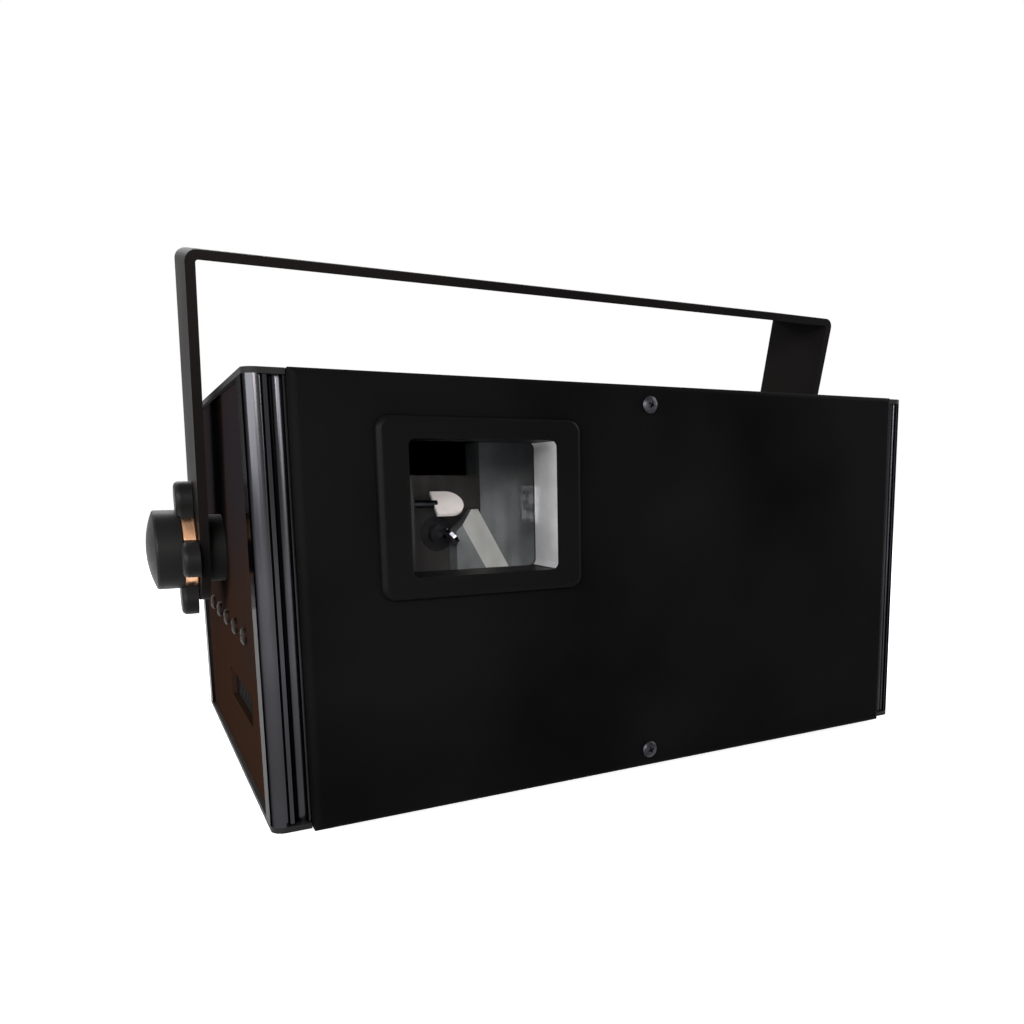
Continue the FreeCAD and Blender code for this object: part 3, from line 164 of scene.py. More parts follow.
# Powder coat on sheet: sprayed and baked, so the eye gets a flat black with a faint orange peel and smudges.
# The peel is about 0.4 mm on the real sheet, and is drawn at 1.4 mm or more so that it shows.
# A side panel also has a painted warm reflection, browner towards the bottom, which starts at the first height
# given and is full at the second.
def powder_coat(name, dark, pale, shine, rough_low, rough_high, peel=1.4, warm_reflection=None):
    finish, tree, shader, coords = new_finish(name)
    grain = add(tree, "ShaderNodeTexNoise", {"Scale": per_mm / peel, "Detail": 3.0}, {"Vector": coords})
    smudge = add(tree, "ShaderNodeTexNoise", {"Scale": per_mm / smudge_size, "Detail": 2.0},
                 {"Vector": coords})
    colour = shader.inputs["Base Color"]
    if warm_reflection:
        reflection_start, reflection_full = warm_reflection
        # Painted reflection of a warm table below: the colour turns browner downwards, and the smudges are
        # added to it
        place = add(tree, "ShaderNodeSeparateXYZ", {}, {"Vector": coords})
        painted_reflection = add(tree, "ShaderNodeMapRange",
                      {"From Min": reflection_start * mm, "From Max": reflection_full * mm, "To Max": 0.6},
                      {"Value": place.outputs["Z"]})
        mark_pattern = add(tree, "ShaderNodeMath", {"operation": "ADD"},
                   {0: painted_reflection.outputs[0], 1: smudge.outputs["Fac"]})
        blend(tree, mark_pattern.outputs[0], colour, linear(dark), linear(pale), 0.5, 1.0)
    else:
        blend(tree, smudge.outputs["Fac"], colour, linear(dark), linear(pale))
    blend(tree, smudge.outputs["Fac"], shader.inputs["Roughness"], grey(rough_low), grey(rough_high))
    bump = add(tree, "ShaderNodeBump", {"Strength": 0.35, "Distance": 0.06 * mm},
               {"Height": grain.outputs["Fac"]})
    tree.links.new(bump.outputs[0], shader.inputs["Normal"])
    shader.inputs["Specular IOR Level"].default_value = shine
    return finish


# Anodised extrusion: drawn through a die and dyed black, so the eye gets long fine lines and a soft gloss.
# Die lines are under 0.2 mm apart, and are drawn at 0.8 mm so that they show.
def anodised_extrusion(name, dark, pale, rough_low, rough_high, edge_tint):
    finish, tree, shader, coords = new_finish(name)
    drawn = add(tree, "ShaderNodeMapping", {"Scale": along_z}, {"Vector": coords})
    lines = add(tree, "ShaderNodeTexNoise", {"Scale": per_mm / die_line_gap, "Detail": 2.0},
                {"Vector": drawn.outputs[0]})
    cloud = add(tree, "ShaderNodeTexNoise", {"Scale": per_mm / dye_cloud_size, "Detail": 2.0},
                {"Vector": coords})
    blend(tree, cloud.outputs["Fac"], shader.inputs["Base Color"], linear(dark), linear(pale))
    blend(tree, lines.outputs["Fac"], shader.inputs["Roughness"], grey(rough_low), grey(rough_high))
    bump = add(tree, "ShaderNodeBump", {"Strength": 0.2, "Distance": 0.03 * mm},
               {"Height": lines.outputs["Fac"]})
    tree.links.new(bump.outputs[0], shader.inputs["Normal"])
    shader.inputs["Metallic"].default_value = 1.0
    shader.inputs["Specular Tint"].default_value = grey(edge_tint)
    return finish


# Machined metal: cut on a mill or a lathe, so the eye gets fine parallel tool marks in a soft metal gloss.
# Tool marks are about 0.15 mm apart, and are drawn far wider so that they show: the given mark is one radian
# of the wave, so that 1.2 mm puts them about 7 mm apart.
def machined_metal(name, dark, pale, rough, metal=1.0, mark=1.2, turn=(0.0, 0.0, 0.0), rings=False,
                   centre=(0.0, 0.0, 0.0)):
    finish, tree, shader, coords = new_finish(name)
    placed = add(tree, "ShaderNodeMapping", {"vector_type": "TEXTURE", "Location": centre, "Rotation": turn},
                 {"Vector": coords})
    marks = add(tree, "ShaderNodeTexWave",
                {"wave_type": "RINGS" if rings else "BANDS", "Scale": per_mm / mark / wave_rate,
                 "Distortion": 1.5, "Detail": 3.0, "Detail Scale": 4.0},
                {"Vector": placed.outputs[0]})
    cloud = add(tree, "ShaderNodeTexNoise", {"Scale": per_mm / metal_cloud_size, "Detail": 3.0},
                {"Vector": coords})
    blend(tree, cloud.outputs["Fac"], shader.inputs["Base Color"], linear(dark), linear(pale))
    blend(tree, marks.outputs["Fac"], shader.inputs["Roughness"], grey(rough), grey(rough + 0.14))
    bump = add(tree, "ShaderNodeBump", {"Strength": 0.25, "Distance": 0.03 * mm},
               {"Height": marks.outputs["Fac"]})
    tree.links.new(bump.outputs[0], shader.inputs["Normal"])
    shader.inputs["Metallic"].default_value = metal
    return finish


# Plated or blackened steel: dipped, so the eye gets an even metal with a faint cloudy bloom.
def plated_steel(name, dark, pale, rough):
    finish, tree, shader, coords = new_finish(name)
    cloud = add(tree, "ShaderNodeTexNoise", {"Scale": per_mm / plating_bloom_size, "Detail": 4.0},
                {"Vector": coords})
    blend(tree, cloud.outputs["Fac"], shader.inputs["Base Color"], linear(dark), linear(pale))
    blend(tree, cloud.outputs["Fac"], shader.inputs["Roughness"], grey(rough), grey(rough + 0.12))
    shader.inputs["Metallic"].default_value = 1.0
    return finish


# Moulded plastic: shot into a spark-eroded mould, so the eye gets a fine even grain and a soft sheen.
# The mould's grain is about 0.2 mm, and is drawn coarser so that it shows.
def moulded_plastic(name, dark, pale, rough, grain=0.9, depth=0.03, shine=0.5):
    finish, tree, shader, coords = new_finish(name)
    pits = add(tree, "ShaderNodeTexNoise", {"Scale": per_mm / grain, "Detail": 3.0}, {"Vector": coords})
    flow = add(tree, "ShaderNodeTexNoise", {"Scale": per_mm / mould_flow_size, "Detail": 2.0},
               {"Vector": coords})
    blend(tree, flow.outputs["Fac"], shader.inputs["Base Color"], linear(dark), linear(pale))
    blend(tree, pits.outputs["Fac"], shader.inputs["Roughness"], grey(rough), grey(rough + 0.15))
    bump = add(tree, "ShaderNodeBump", {"Strength": 0.3, "Distance": depth * mm},
               {"Height": pits.outputs["Fac"]})
    tree.links.new(bump.outputs[0], shader.inputs["Normal"])
    shader.inputs["Specular IOR Level"].default_value = shine
    return finish


# Coated mirror: polished glass with a vapour coating, so the eye gets a reflection with the coating's tint.
# The upper scan mirror scatters more than a real one, so that it shows pale, as in the photograph: its pale
# pinkish colour is a painted reflection of a warm light.
def coated_mirror(name, dark, pale, metal=1.0, rough=0.03):
    finish, tree, shader, coords = new_finish(name)
    haze = add(tree, "ShaderNodeTexNoise", {"Scale": per_mm / mirror_haze_size, "Detail": 2.0},
               {"Vector": coords})
    blend(tree, haze.outputs["Fac"], shader.inputs["Base Color"], linear(dark), linear(pale))
    blend(tree, haze.outputs["Fac"], shader.inputs["Roughness"], grey(rough), grey(rough + 0.05))
    shader.inputs["Metallic"].default_value = metal
    return finish


# Clear float glass with an anti-reflection coat: the eye looks through it, with a trace of dust.
# An index of one stands for the coat, which takes the reflections away. Light that falls in passes straight.
def float_glass(name, tint):
    finish, tree, shader, coords = new_finish(name)
    mark_pattern = add(tree, "ShaderNodeTexNoise", {"Scale": per_mm / glass_dust_size, "Detail": 4.0},
               {"Vector": coords})
    blend(tree, mark_pattern.outputs["Fac"], shader.inputs["Roughness"], grey(0.0), grey(0.06), 0.5, 0.8)
    shader.inputs["Base Color"].default_value = linear(tint)
    shader.inputs["Transmission Weight"].default_value = 1.0
    shader.inputs["IOR"].default_value = 1.0
    clear = add(tree, "ShaderNodeBsdfTransparent")
    falls_in = ray_is(tree, "Is Shadow Ray", "Is Diffuse Ray")
    either = add(tree, "ShaderNodeMixShader", {}, {0: falls_in, 1: shader.outputs[0], 2: clear.outputs[0]})
    output = next(node for node in tree.nodes if node.bl_idname == "ShaderNodeOutputMaterial")
    tree.links.new(either.outputs[0], output.inputs["Surface"])
    return finish


# Solder mask over copper: screened on a glass-fibre board, so the eye gets a green gloss with a net of tracks.
def solder_mask(name, dark, pale, track):
    finish, tree, shader, coords = new_finish(name)
    tracks = add(tree, "ShaderNodeTexBrick",
                 {"Scale": per_mm / track_net_size, "Mortar Size": 0.06, "Color1": linear(dark),
                  "Color2": linear(pale), "Mortar": linear(track)},
                 {"Vector": coords})
    cloud = add(tree, "ShaderNodeTexNoise", {"Scale": per_mm / mask_cloud_size, "Detail": 2.0},
                {"Vector": coords})
    tree.links.new(tracks.outputs["Color"], shader.inputs["Base Color"])
    blend(tree, cloud.outputs["Fac"], shader.inputs["Roughness"], grey(0.25), grey(0.4))
    return finish


front_coat = powder_coat("black_powder_coat_on_front_sheet", "#040404", "#0b0b0b", 0.008, 0.48, 0.62)
panel_coat = powder_coat("black_powder_coat_on_aluminium", "#131313", "#1b1b1b", 0.06, 0.45, 0.58)
# The side sheet has no gloss: its purplish grey and the brown that grows downwards are painted reflection
side_coat = powder_coat("black_powder_coat_on_side_sheet", "#1a1719", "#231711", 0.0, 0.5, 0.6,
                        warm_reflection=(120, 35))
bezel_coat = powder_coat("black_powder_coat_on_bezel", "#040404", "#070707", 0.03, 0.3, 0.4)
yoke_coat = powder_coat("black_powder_coat_on_steel_strap", "#0a0909", "#120f0f", 0.02, 0.4, 0.55, peel=1.6)
post_anodise = anodised_extrusion("black_anodised_extrusion", "#29292b", "#333336", 0.15, 0.24, 0.15)
reveal_satin = machined_metal("satin_aluminium", "#e0e0e2", "#f2f2f4", 0.4)
milled_aluminium = machined_metal("milled_aluminium", "#9fa5a3", "#c2c6c4", 0.36)
black_anodise = machined_metal("black_anodised_aluminium", "#0d0909", "#161011", 0.5, metal=0.2)
grey_anodise = machined_metal("grey_anodised_aluminium", "#5c5f61", "#73777a", 0.45, metal=0.3)
# Near-white: bare metal, lightened further as a painted highlight of the light the chamfer catches
chamfer_metal_and_highlight = machined_metal("bare_chamfer_and_painted_highlight", "#dcdddc", "#f4f5f4", 0.4, metal=0.3)
scan_motor_metal = machined_metal("turned_black_aluminium", "#1b1b1d", "#2a2a2d", 0.4)
laser_anodise = machined_metal("black_anodised_laser_housing", "#1a1a1c", "#29292c", 0.38)
gold_anodise = machined_metal("gold_anodised_aluminium", "#d09a72", "#efc29f", 0.26, mark=1.0,
                              turn=(0.0, pi / 2, 0.0), rings=True, centre=(0.0, pivot.y, pivot.z))
bright_steel = plated_steel("zinc_plated_steel", "#9a9ca0", "#b9bbbe", 0.3)
nickel = plated_steel("nickel_plated_brass", "#b0aca4", "#cfcbc4", 0.2)
black_oxide = plated_steel("black_oxide_steel", "#232326", "#353539", 0.34)
dull_oxide = plated_steel("dull_black_oxide_steel", "#1b1715", "#2b221e", 0.5)
knob_abs = moulded_plastic("moulded_black_abs", "#0c0c0c", "#131313", 0.36, shine=0.08)
spacer_nylon = moulded_plastic("moulded_black_nylon", "#0c0c0c", "#131313", 0.5, shine=0.1)
foot_rubber = moulded_plastic("moulded_black_rubber", "#0d0d0d", "#151515", 0.72, 1.2, 0.05, 0.25)
fan_pbt = moulded_plastic("moulded_black_fan_plastic", "#0f0f10", "#171718", 0.4)
socket_nylon = moulded_plastic("moulded_black_socket_nylon", "#0c0c0d", "#141415", 0.32, shine=0.22)
rocker_gloss = moulded_plastic("moulded_black_rocker_plastic", "#0a0a0b", "#101011", 0.18, 1.4, 0.01, 0.25)
button_abs = moulded_plastic("moulded_grey_abs", "#55565a", "#626368", 0.42)
smoked_acrylic = moulded_plastic("smoked_acrylic", "#050608", "#090a0d", 0.05, 3.0, 0.004, 0.12)
# The upper scan mirror's pale pinkish colour is a painted reflection
scan_mirror = coated_mirror("silver_coated_mirror", "#f0e6e6", "#fbf5f5", 0.1, 0.3)
combiner_mirror = coated_mirror("dichroic_coated_mirror", "#c7d6e6", "#e3d9ee")
window_pane = float_glass("clear_float_glass", "#f9fbfa")
board_mask = solder_mask("green_solder_mask", "#123d22", "#164a2a", "#2a6a3c")

finishes = {
    front_coat: ("front_panel", "vent_grilles"),
    panel_coat: ("rear_panel", "top_cover", "bottom_plate"),
    side_coat: ("left_side_panel", "right_side_panel"),
    yoke_coat: ("yoke", "fan_guard", "safety_eye", "power_supply"),
    post_anodise: ("front_left_post", "front_right_post", "rear_left_post", "rear_right_post"),
    bezel_coat: ("window_bezel",),
    black_anodise: ("scanner_block",),
    grey_anodise: ("scanner_bracket",),
    milled_aluminium: ("optical_base", "mirror_mounts"),
    scan_motor_metal: ("x_galvo_motor", "y_galvo_motor"),
    gold_anodise: ("left_knob_collar", "right_knob_collar"),
    bright_steel: ("pivot_studs", "backing_plates", "glass_clips", "key_lock", "board_pillars"),
    nickel: ("control_port", "key_plug"),
    black_oxide: ("panel_screws", "cover_screws"),
    dull_oxide: ("shelf_screws",),
    knob_abs: ("left_knob_grip", "right_knob_grip"),
    spacer_nylon: ("pivot_spacers",),
    foot_rubber: ("rubber_feet", "window_seal"),
    fan_pbt: ("fan_frame", "fan_rotor"),
    socket_nylon: ("signal_in_socket", "signal_out_socket", "power_inlet", "power_switch"),
    rocker_gloss: ("power_rocker",),
    button_abs: ("menu_button_1", "menu_button_2", "menu_button_3", "menu_button_4"),
    smoked_acrylic: ("display_window",),
    laser_anodise: ("green_laser", "red_laser", "blue_laser"),
    scan_mirror: ("y_scan_mirror",),
    combiner_mirror: ("combining_mirrors", "x_scan_mirror"),
    window_pane: ("window_glass",),
    board_mask: ("scanner_driver", "control_board"),
}
for finish, names in finishes.items():
    for name in names:
        nodes[name].data.materials.clear()
        nodes[name].data.materials.append(finish)


def second_finish(name, finish, test):
    """Gives another finish to those faces of a solid whose middle and normal pass the test."""
    mesh = nodes[name].data
    place = nodes[name].matrix_world
    mesh.materials.append(finish)
    for face in mesh.polygons:
        if test(place @ face.center, (place.to_3x3() @ face.normal).normalized()):
            face.material_index = len(mesh.materials) - 1


# The upright walls of the window's deep reveal are bare metal
bezel_low, bezel_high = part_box("window_bezel")
bezel_middle = (bezel_low + bezel_high) / 2
seal_low, seal_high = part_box("window_seal")
reveal_half = (seal_high.x - seal_low.x) / 2 - 1.0 * mm
second_finish("window_bezel", reveal_satin, lambda middle, normal:
              abs(normal.x) > 0.5 and abs(normal.y) < 0.1
              and abs(middle.x - bezel_middle.x) < reveal_half
              and normal.x * (middle.x - bezel_middle.x) < 0)
# So is the milled chamfer of the scanner's bracket, which looks up and out to the right; its near-white colour
# is partly bare metal and partly a painted highlight.
second_finish("scanner_bracket", chamfer_metal_and_highlight, lambda middle, normal:
              normal.x > 0.2 and normal.y < -0.2 and normal.z > 0.1)
# The shaft of the upper mirror is blackened steel, from the mirror's foot on
mirror_length = 12.6 * mm
_, mirror_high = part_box("y_scan_mirror")
second_finish("y_scan_mirror", black_oxide, lambda middle, normal: middle.x < mirror_high.x - mirror_length)


# Modelling by hand

def clear_selection():
    bpy.ops.object.select_all(action="DESELECT")


def pick(piece):
    """Makes the piece active, and the only one selected."""
    clear_selection()
    piece.select_set(True)
    bpy.context.view_layer.objects.active = piece


def edit(piece):
    pick(piece)
    bpy.ops.object.mode_set(mode="EDIT")


def leave_edit():
    bpy.ops.object.mode_set(mode="OBJECT")


def pick_faces(piece, test):
    """Selects, in edit mode, only the faces whose normal passes the test."""
    bpy.ops.mesh.select_mode(type="FACE")
    bpy.ops.mesh.select_all(action="DESELECT")
    mesh = bmesh.from_edit_mesh(piece.data)
    for face in mesh.faces:
        face.select_set(test(face.normal))
    mesh.select_flush_mode()
    bmesh.update_edit_mesh(piece.data)


def looks_up(normal):
    return normal.z > 0.9


def looks_down(normal):
    return normal.z < -0.9


def extrude(rise):
    """Pulls the selected faces out along Z, or pushes them in when the rise is negative."""
    bpy.ops.mesh.extrude_region_move(TRANSFORM_OT_translate={"value": (0, 0, rise)})


def add_round(radius, depth, low=0.0, sides=32):
    """A cylinder that stands on the given height at the origin."""
    clear_selection()
    bpy.ops.mesh.primitive_cylinder_add(vertices=sides, radius=radius, depth=depth,
                                        location=(0, 0, low + depth / 2))
    bpy.ops.object.transform_apply(location=True, rotation=True, scale=True)
    return bpy.context.object


def add_slab(size, middle):
    """A box of the given size round its middle."""
    clear_selection()
    bpy.ops.mesh.primitive_cube_add(size=1.0, location=middle, scale=size)
    bpy.ops.object.transform_apply(location=True, rotation=True, scale=True)
    return bpy.context.object


def soften(piece, width, segments=2, angle=40):
    """Rounds the piece's sharp edges and smooths its shading."""
    bevel = piece.modifiers.new("soft_edges", "BEVEL")
    bevel.width = width
    bevel.segments = segments
    bevel.limit_method = "ANGLE"
    bevel.angle_limit = radians(angle)
    pick(piece)
    bpy.ops.object.modifier_apply(modifier=bevel.name)
    bpy.ops.object.shade_smooth_by_angle(angle=radians(35))


def carve(piece, cutter):
    """Cuts the cutter's shape out of the piece and removes the cutter."""
    cut = piece.modifiers.new("recess", "BOOLEAN")
    cut.operation = "DIFFERENCE"
    cut.solver = "EXACT"
    cut.use_self = True
    cut.object = cutter
    pick(piece)
    bpy.ops.object.modifier_apply(modifier=cut.name)
    bpy.data.objects.remove(cutter)


def cross_cutter(top, radius, depth):
    """A cross with walls that close in downwards, for the driver recess of a head of this radius."""
    span, width, taper = 1.15 * radius, 0.3 * radius, (0.45, 0.6, 1.0)
    cutter = add_slab((span, width, 2 * depth), (0, 0, top))
    edit(cutter)
    pick_faces(cutter, looks_down)
    bpy.ops.transform.resize(value=taper, center_override=(0, 0, top))
    bpy.ops.mesh.select_all(action="SELECT")
    bpy.ops.mesh.duplicate()
    bpy.ops.transform.rotate(value=pi / 2, orient_axis="Z", center_override=(0, 0, top))
    leave_edit()
    return cutter


def recess_and_soften(screw, top, radius, depth):
    """Gives a screw its cross recess and breaks its edges."""
    carve(screw, cross_cutter(top, radius, depth))
    soften(screw, 0.03 * radius, 1, 50)
    return screw


def pan_head_screw(radius, height, shank_radius, shank_length):
    """A domed screw that sits on the XY plane, with a cross recess."""
    rim = 0.5 * height
    # The dome in steps: a share of the radius inwards, a share of the height up
    dome = ((0.12, 0.18), (0.2, 0.16), (0.25, 0.1), (0.2, 0.04))
    screw = add_round(radius, rim)
    edit(screw)
    pick_faces(screw, looks_up)
    for inwards, rise in dome:
        bpy.ops.mesh.inset(thickness=inwards * radius, depth=rise * height)
    pick_faces(screw, looks_down)
    bpy.ops.mesh.inset(thickness=radius - shank_radius, depth=0.0)
    extrude(-shank_length)
    leave_edit()
    return recess_and_soften(screw, height, radius, 0.55 * height)


def flat_head_screw(radius, height, shank_radius, shank_length):
    """A countersunk screw with its flush head on the XY plane and a cross recess."""
    rim = 0.15 * height
    shrink = shank_radius / radius
    screw = add_round(radius, rim, -rim)
    edit(screw)
    pick_faces(screw, looks_down)
    extrude(rim - height)
    bpy.ops.transform.resize(value=(shrink, shrink, 1.0), center_override=(0, 0, -height))
    extrude(height - shank_length)
    leave_edit()
    return recess_and_soften(screw, 0.0, radius, 0.7 * height)


def contact_sleeve(outer, inner, depth):
    """A short tube whose mouth is slightly rounded."""
    sleeve = add_round(outer, depth, 0.0, 16)
    edit(sleeve)
    pick_faces(sleeve, looks_up)
    bpy.ops.mesh.inset(thickness=outer - inner, depth=0.0)
    extrude(-0.8 * depth)
    leave_edit()
    soften(sleeve, 0.2 * (outer - inner), 1, 60)
    return sleeve


def copies(model, name, places, finish, body):
    """Copies of a piece that was modelled looking up +Z, joined as one piece at the origin.

    Each place is a point, the way the copy looks and its turn about that way in degrees.
    """
    clear_selection()
    made = []
    for place, way, spin in places:
        copy = model.copy()
        copy.data = model.data.copy()
        bpy.context.scene.collection.objects.link(copy)
        turn = Vector((0, 0, 1)).rotation_difference(Vector(way)).to_matrix().to_4x4()
        copy.data.transform(Matrix.Translation(Vector(place)) @ turn @ Matrix.Rotation(radians(spin), 4, "Z"))
        copy.select_set(True)
        made.append(copy)
    piece = made[0]
    bpy.context.view_layer.objects.active = piece
    if len(made) > 1:
        bpy.ops.object.join()
    piece.name = name
    piece.data.name = name
    piece.data.materials.clear()
    piece.data.materials.append(finish)
    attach(piece, body)
    return piece


# Screws of the housing, which stand for the plain solids

front, back, up, down = (0, -1, 0), (0, 1, 0), (0, 0, 1), (0, 0, -1)
left, right = (-1, 0, 0), (1, 0, 0)
pan_radius, pan_height = 3.3 * mm, 2.1 * mm
flat_radius, flat_height = 3.2 * mm, 1.5 * mm
shank_radius, shank_length = 1.7 * mm, 11 * mm

panel_screw = pan_head_screw(pan_radius, pan_height, shank_radius, shank_length)
screw_low, screw_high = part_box("panel_screws")
low_z = screw_low.z + pan_radius
high_z = screw_high.z - pan_radius
panel_places = [((0, front_face, low_z), front, 20), ((0, front_face, high_z), front, 65),
                ((0, rear_face, low_z), back, 40), ((0, rear_face, high_z), back, 10)]
panel_set = copies(panel_screw, "cross_head_panel_screws", panel_places, black_oxide, "housing")
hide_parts("panel_screws")

row_count = 5
shelf_low, shelf_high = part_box("shelf_screws")
row_step = (shelf_high.y - shelf_low.y - 2 * pan_radius) / (row_count - 1)
row = [shelf_low.y + pan_radius + i * row_step for i in range(row_count)]
row_z = (shelf_low.z + shelf_high.z) / 2
shelf_places = [((shelf_low.x + pan_height, y, row_z), left, 25 + 35 * i) for i, y in enumerate(row)]
shelf_places += [((shelf_high.x - pan_height, y, row_z), right, 50 + 25 * i) for i, y in enumerate(row)]
shelf_set = copies(panel_screw, "cross_head_shelf_screws", shelf_places, dull_oxide, "housing")
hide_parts("shelf_screws")

cover_screw = flat_head_screw(flat_radius, flat_height, shank_radius, shank_length)
cover_low, cover_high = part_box("cover_screws")
cover_places = []
for x in (cover_low.x + flat_radius, cover_high.x - flat_radius):
    for y in (cover_low.y + flat_radius, cover_high.y - flat_radius):
        # Each is driven home at a turn of its own, taken from its place
        cover_places.append(((x, y, cover_high.z), up, 300 * y / mm % 90))
        cover_places.append(((x, y, cover_low.z), down, 200 * x / mm % 90))
cover_set = copies(cover_screw, "flat_head_cover_screws", cover_places, black_oxide, "housing")
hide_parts("cover_screws")


# Screws of the rear fittings, at the holes of the fan, the safety eye and the signal sockets

guard_screw = pan_head_screw(3.0 * mm, 1.8 * mm, 1.4 * mm, 4 * mm)
fan_hole = 25
guard_places = [((guard_middle.x + x * mm, guard_high.y, guard_middle.z + z * mm), back, 30 + x + 2 * z)
                for x in (-fan_hole, fan_hole) for z in (-fan_hole, fan_hole)]
copies(guard_screw, "fan_guard_screws", guard_places, black_oxide, "housing")

small_screw = pan_head_screw(2.3 * mm, 1.4 * mm, 1.1 * mm, 3 * mm)
eye_hole_x, eye_hole_z = 4.9, 9
eye_seat = rear_face + 3 * mm
eye_places = [((eye_middle.x + x * mm, eye_seat, eye_middle.z + z * mm), back, 15 * z)
              for x in (-eye_hole_x, eye_hole_x) for z in (-eye_hole_z, eye_hole_z)]
copies(small_screw, "safety_eye_screws", eye_places, bright_steel, "housing")

socket_hole_x, socket_hole_z = 9.5 * mm, 12 * mm
socket_places = []
for middle, high in ((signal_in_middle, signal_in_high), (signal_out_middle, signal_out_high)):
    for side in (-1, 1):
        place = (middle.x + side * socket_hole_x, high.y, middle.z + side * socket_hole_z)
        socket_places.append((place, back, 40 * side))
copies(small_screw, "signal_socket_screws", socket_places, bright_steel, "housing")


# Contacts of the sockets: each stands on the floor of its socket, which a blade clears by a hair

blade_length, blade_lift = 13 * mm, 0.05 * mm
blade = add_slab((2.1 * mm, 4.1 * mm, blade_length), (0, 0, blade_length / 2 + blade_lift))
soften(blade, 0.5 * mm, 2)
blade_seat = inlet_high.y - 16 * mm
blade_spots = ((-7, -2), (0, 2), (7, -2))
blade_places = [((inlet_middle.x + x * mm, blade_seat, inlet_middle.z + z * mm), back, 0)
                for x, z in blade_spots]
copies(blade, "mains_inlet_blades", blade_places, nickel, "housing")

ring_radius, ring_count = 4.6 * mm, 3
ring_turns = [pi / 2 + 2 * pi * k / ring_count for k in range(ring_count)]
contact_ring = [(ring_radius * cos(turn), ring_radius * sin(turn)) for turn in ring_turns]
pin = add_round(1.25 * mm, 11.05 * mm, 0.0, 20)
soften(pin, 0.55 * mm, 3)
pin_seat = signal_in_high.y - 15 * mm
pin_places = [((signal_in_middle.x - x, pin_seat, signal_in_middle.z + z), back, 0) for x, z in contact_ring]
copies(pin, "signal_in_pins", pin_places, nickel, "housing")

sleeve = contact_sleeve(1.55 * mm, 1.1 * mm, 0.5 * mm)
sleeve_seat = signal_out_high.y - 1.2 * mm
sleeve_places = [((signal_out_middle.x - x, sleeve_seat, signal_out_middle.z + z), back, 0)
                 for x, z in contact_ring]
copies(sleeve, "signal_out_sleeves", sleeve_places, nickel, "housing")


# Control port: insulator face with its two rows of contacts, and the hexagonal jack posts

face_width, face_height, face_depth = 36.6 * mm, 7.2 * mm, 0.8 * mm
foot_share = 0.91
face = add_slab((face_width, face_height, face_depth), (0, 0, 0))
edit(face)
pick_faces(face, lambda normal: normal.y < -0.9)
bpy.ops.transform.resize(value=(foot_share, 1.0, 1.0), center_override=(0, -face_height / 2, 0))
leave_edit()
soften(face, 0.3 * mm, 2)
port_face = rear_face + 6.8 * mm
face_places = [((port_middle.x, port_face, port_middle.z), back, 0)]
copies(face, "control_port_insulator", face_places, socket_nylon, "housing")

contact = contact_sleeve(0.8 * mm, 0.5 * mm, 0.4 * mm)
contact_pitch, row_offset = 2.77 * mm, 1.42 * mm
contact_seat = port_face + 0.25 * mm
contact_places = []
for count, offset in ((13, row_offset), (12, -row_offset)):
    for i in range(count):
        x = port_middle.x + (i - (count - 1) / 2) * contact_pitch
        contact_places.append(((x, contact_seat, port_middle.z + offset), back, 0))
copies(contact, "control_port_contacts", contact_places, nickel, "housing")

post = add_round(3.05 * mm, 5.1 * mm, 0.0, 6)
edit(post)
pick_faces(post, looks_up)
bpy.ops.mesh.inset(thickness=1.1 * mm, depth=0.0)
extrude(-3.5 * mm)
leave_edit()
soften(post, 0.25 * mm, 2)
post_offset = 22.85 * mm
post_seat = rear_face + 1.2 * mm
post_places = [((port_middle.x + side * post_offset, post_seat, port_middle.z), back, 30) for side in (-1, 1)]
copies(post, "control_port_jack_posts", post_places, nickel, "housing")

for model in (panel_screw, cover_screw, guard_screw, small_screw, blade, pin, sleeve, face, contact, post):
    bpy.data.objects.remove(model)


# Floor, backdrop light and lamps

seen_kinds = ("Is Camera Ray", "Is Glossy Ray", "Is Transmission Ray")

clear_selection()
bpy.ops.mesh.primitive_plane_add(size=40.0, location=(0, 0, 0))
floor = bpy.context.object
floor.name = "studio_floor"
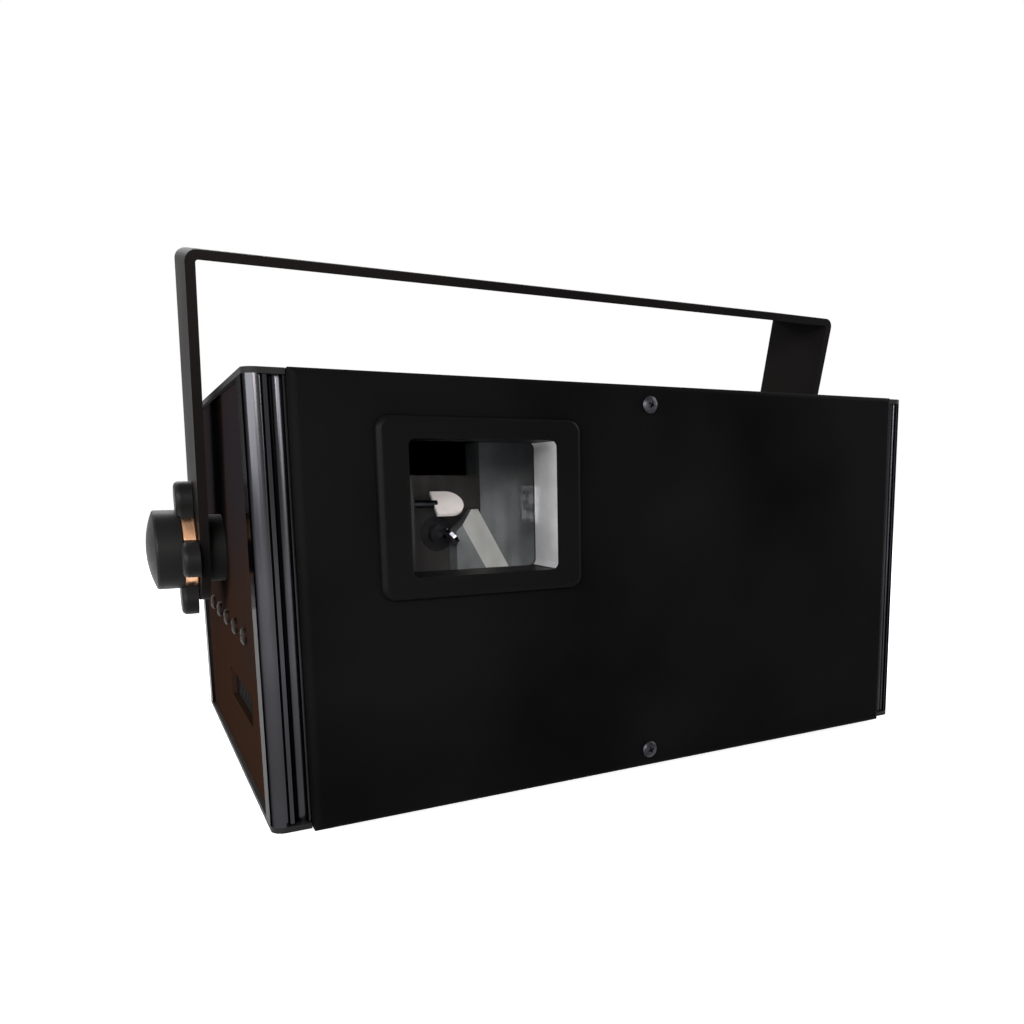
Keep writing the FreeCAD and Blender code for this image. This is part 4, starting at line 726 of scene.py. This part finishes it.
# Pale paper, lifted to white where it is seen, with the object's shadow kept
floor_finish = bpy.data.materials.new("pale_studio_floor")
tree = empty_tree(floor_finish)
paper = add(tree, "ShaderNodeBsdfDiffuse", {"Color": grey(0.82)})
glow = add(tree, "ShaderNodeEmission", {"Color": grey(1.0), "Strength": 0.76})
lifted = add(tree, "ShaderNodeAddShader", {}, {0: paper.outputs[0], 1: glow.outputs[0]})
either = add(tree, "ShaderNodeMixShader", {},
             {0: ray_is(tree, *seen_kinds), 1: paper.outputs[0], 2: lifted.outputs[0]})
add(tree, "ShaderNodeOutputMaterial", {}, {"Surface": either.outputs[0]})
floor.data.materials.append(floor_finish)

# A white backdrop where it is seen, and a soft even light elsewhere
world = bpy.data.worlds.new("white_studio")
bpy.context.scene.world = world
tree = empty_tree(world)
soft = add(tree, "ShaderNodeBackground", {"Color": grey(1.0), "Strength": 0.32})
white = add(tree, "ShaderNodeBackground", {"Color": grey(1.0), "Strength": 1.0})
either = add(tree, "ShaderNodeMixShader", {},
             {0: ray_is(tree, *seen_kinds), 1: soft.outputs[0], 2: white.outputs[0]})
add(tree, "ShaderNodeOutputWorld", {}, {"Surface": either.outputs[0]})


def soft_lamp(name, place, aim, size, watts, colour):
    """A soft box of the given width and height at a place, turned to its aim."""
    data = bpy.data.lights.new(name, "AREA")
    data.shape = "RECTANGLE"
    data.size, data.size_y = size
    data.energy = watts
    data.color = linear(colour)[:3]
    lamp = bpy.data.objects.new(name, data)
    bpy.context.scene.collection.objects.link(lamp)
    lamp.location = place
    lamp.rotation_euler = (Vector(aim) - Vector(place)).to_track_quat("-Z", "Y").to_euler()


soft_lamp("front_key", (-0.54, -1.22, 0.42), (-0.06, -0.1, 0.11), (0.35, 0.35), 12.0, "#fffaf6")
soft_lamp("left_strip", (-1.05, -0.6, 0.36), (-0.145, -0.105, 0.12), (1.2, 0.45), 20.0, "#ffffff")
soft_lamp("right_fill", (1.2, -0.15, 0.6), (0.15, 0.0, 0.08), (0.9, 0.9), 12.0, "#f6f8ff")
soft_lamp("rear_rim", (-0.3, 1.2, 1.1), (0.0, 0.0, 0.1), (0.9, 0.6), 11.0, "#ffffff")

bpy.context.scene.view_settings.view_transform = "Standard"
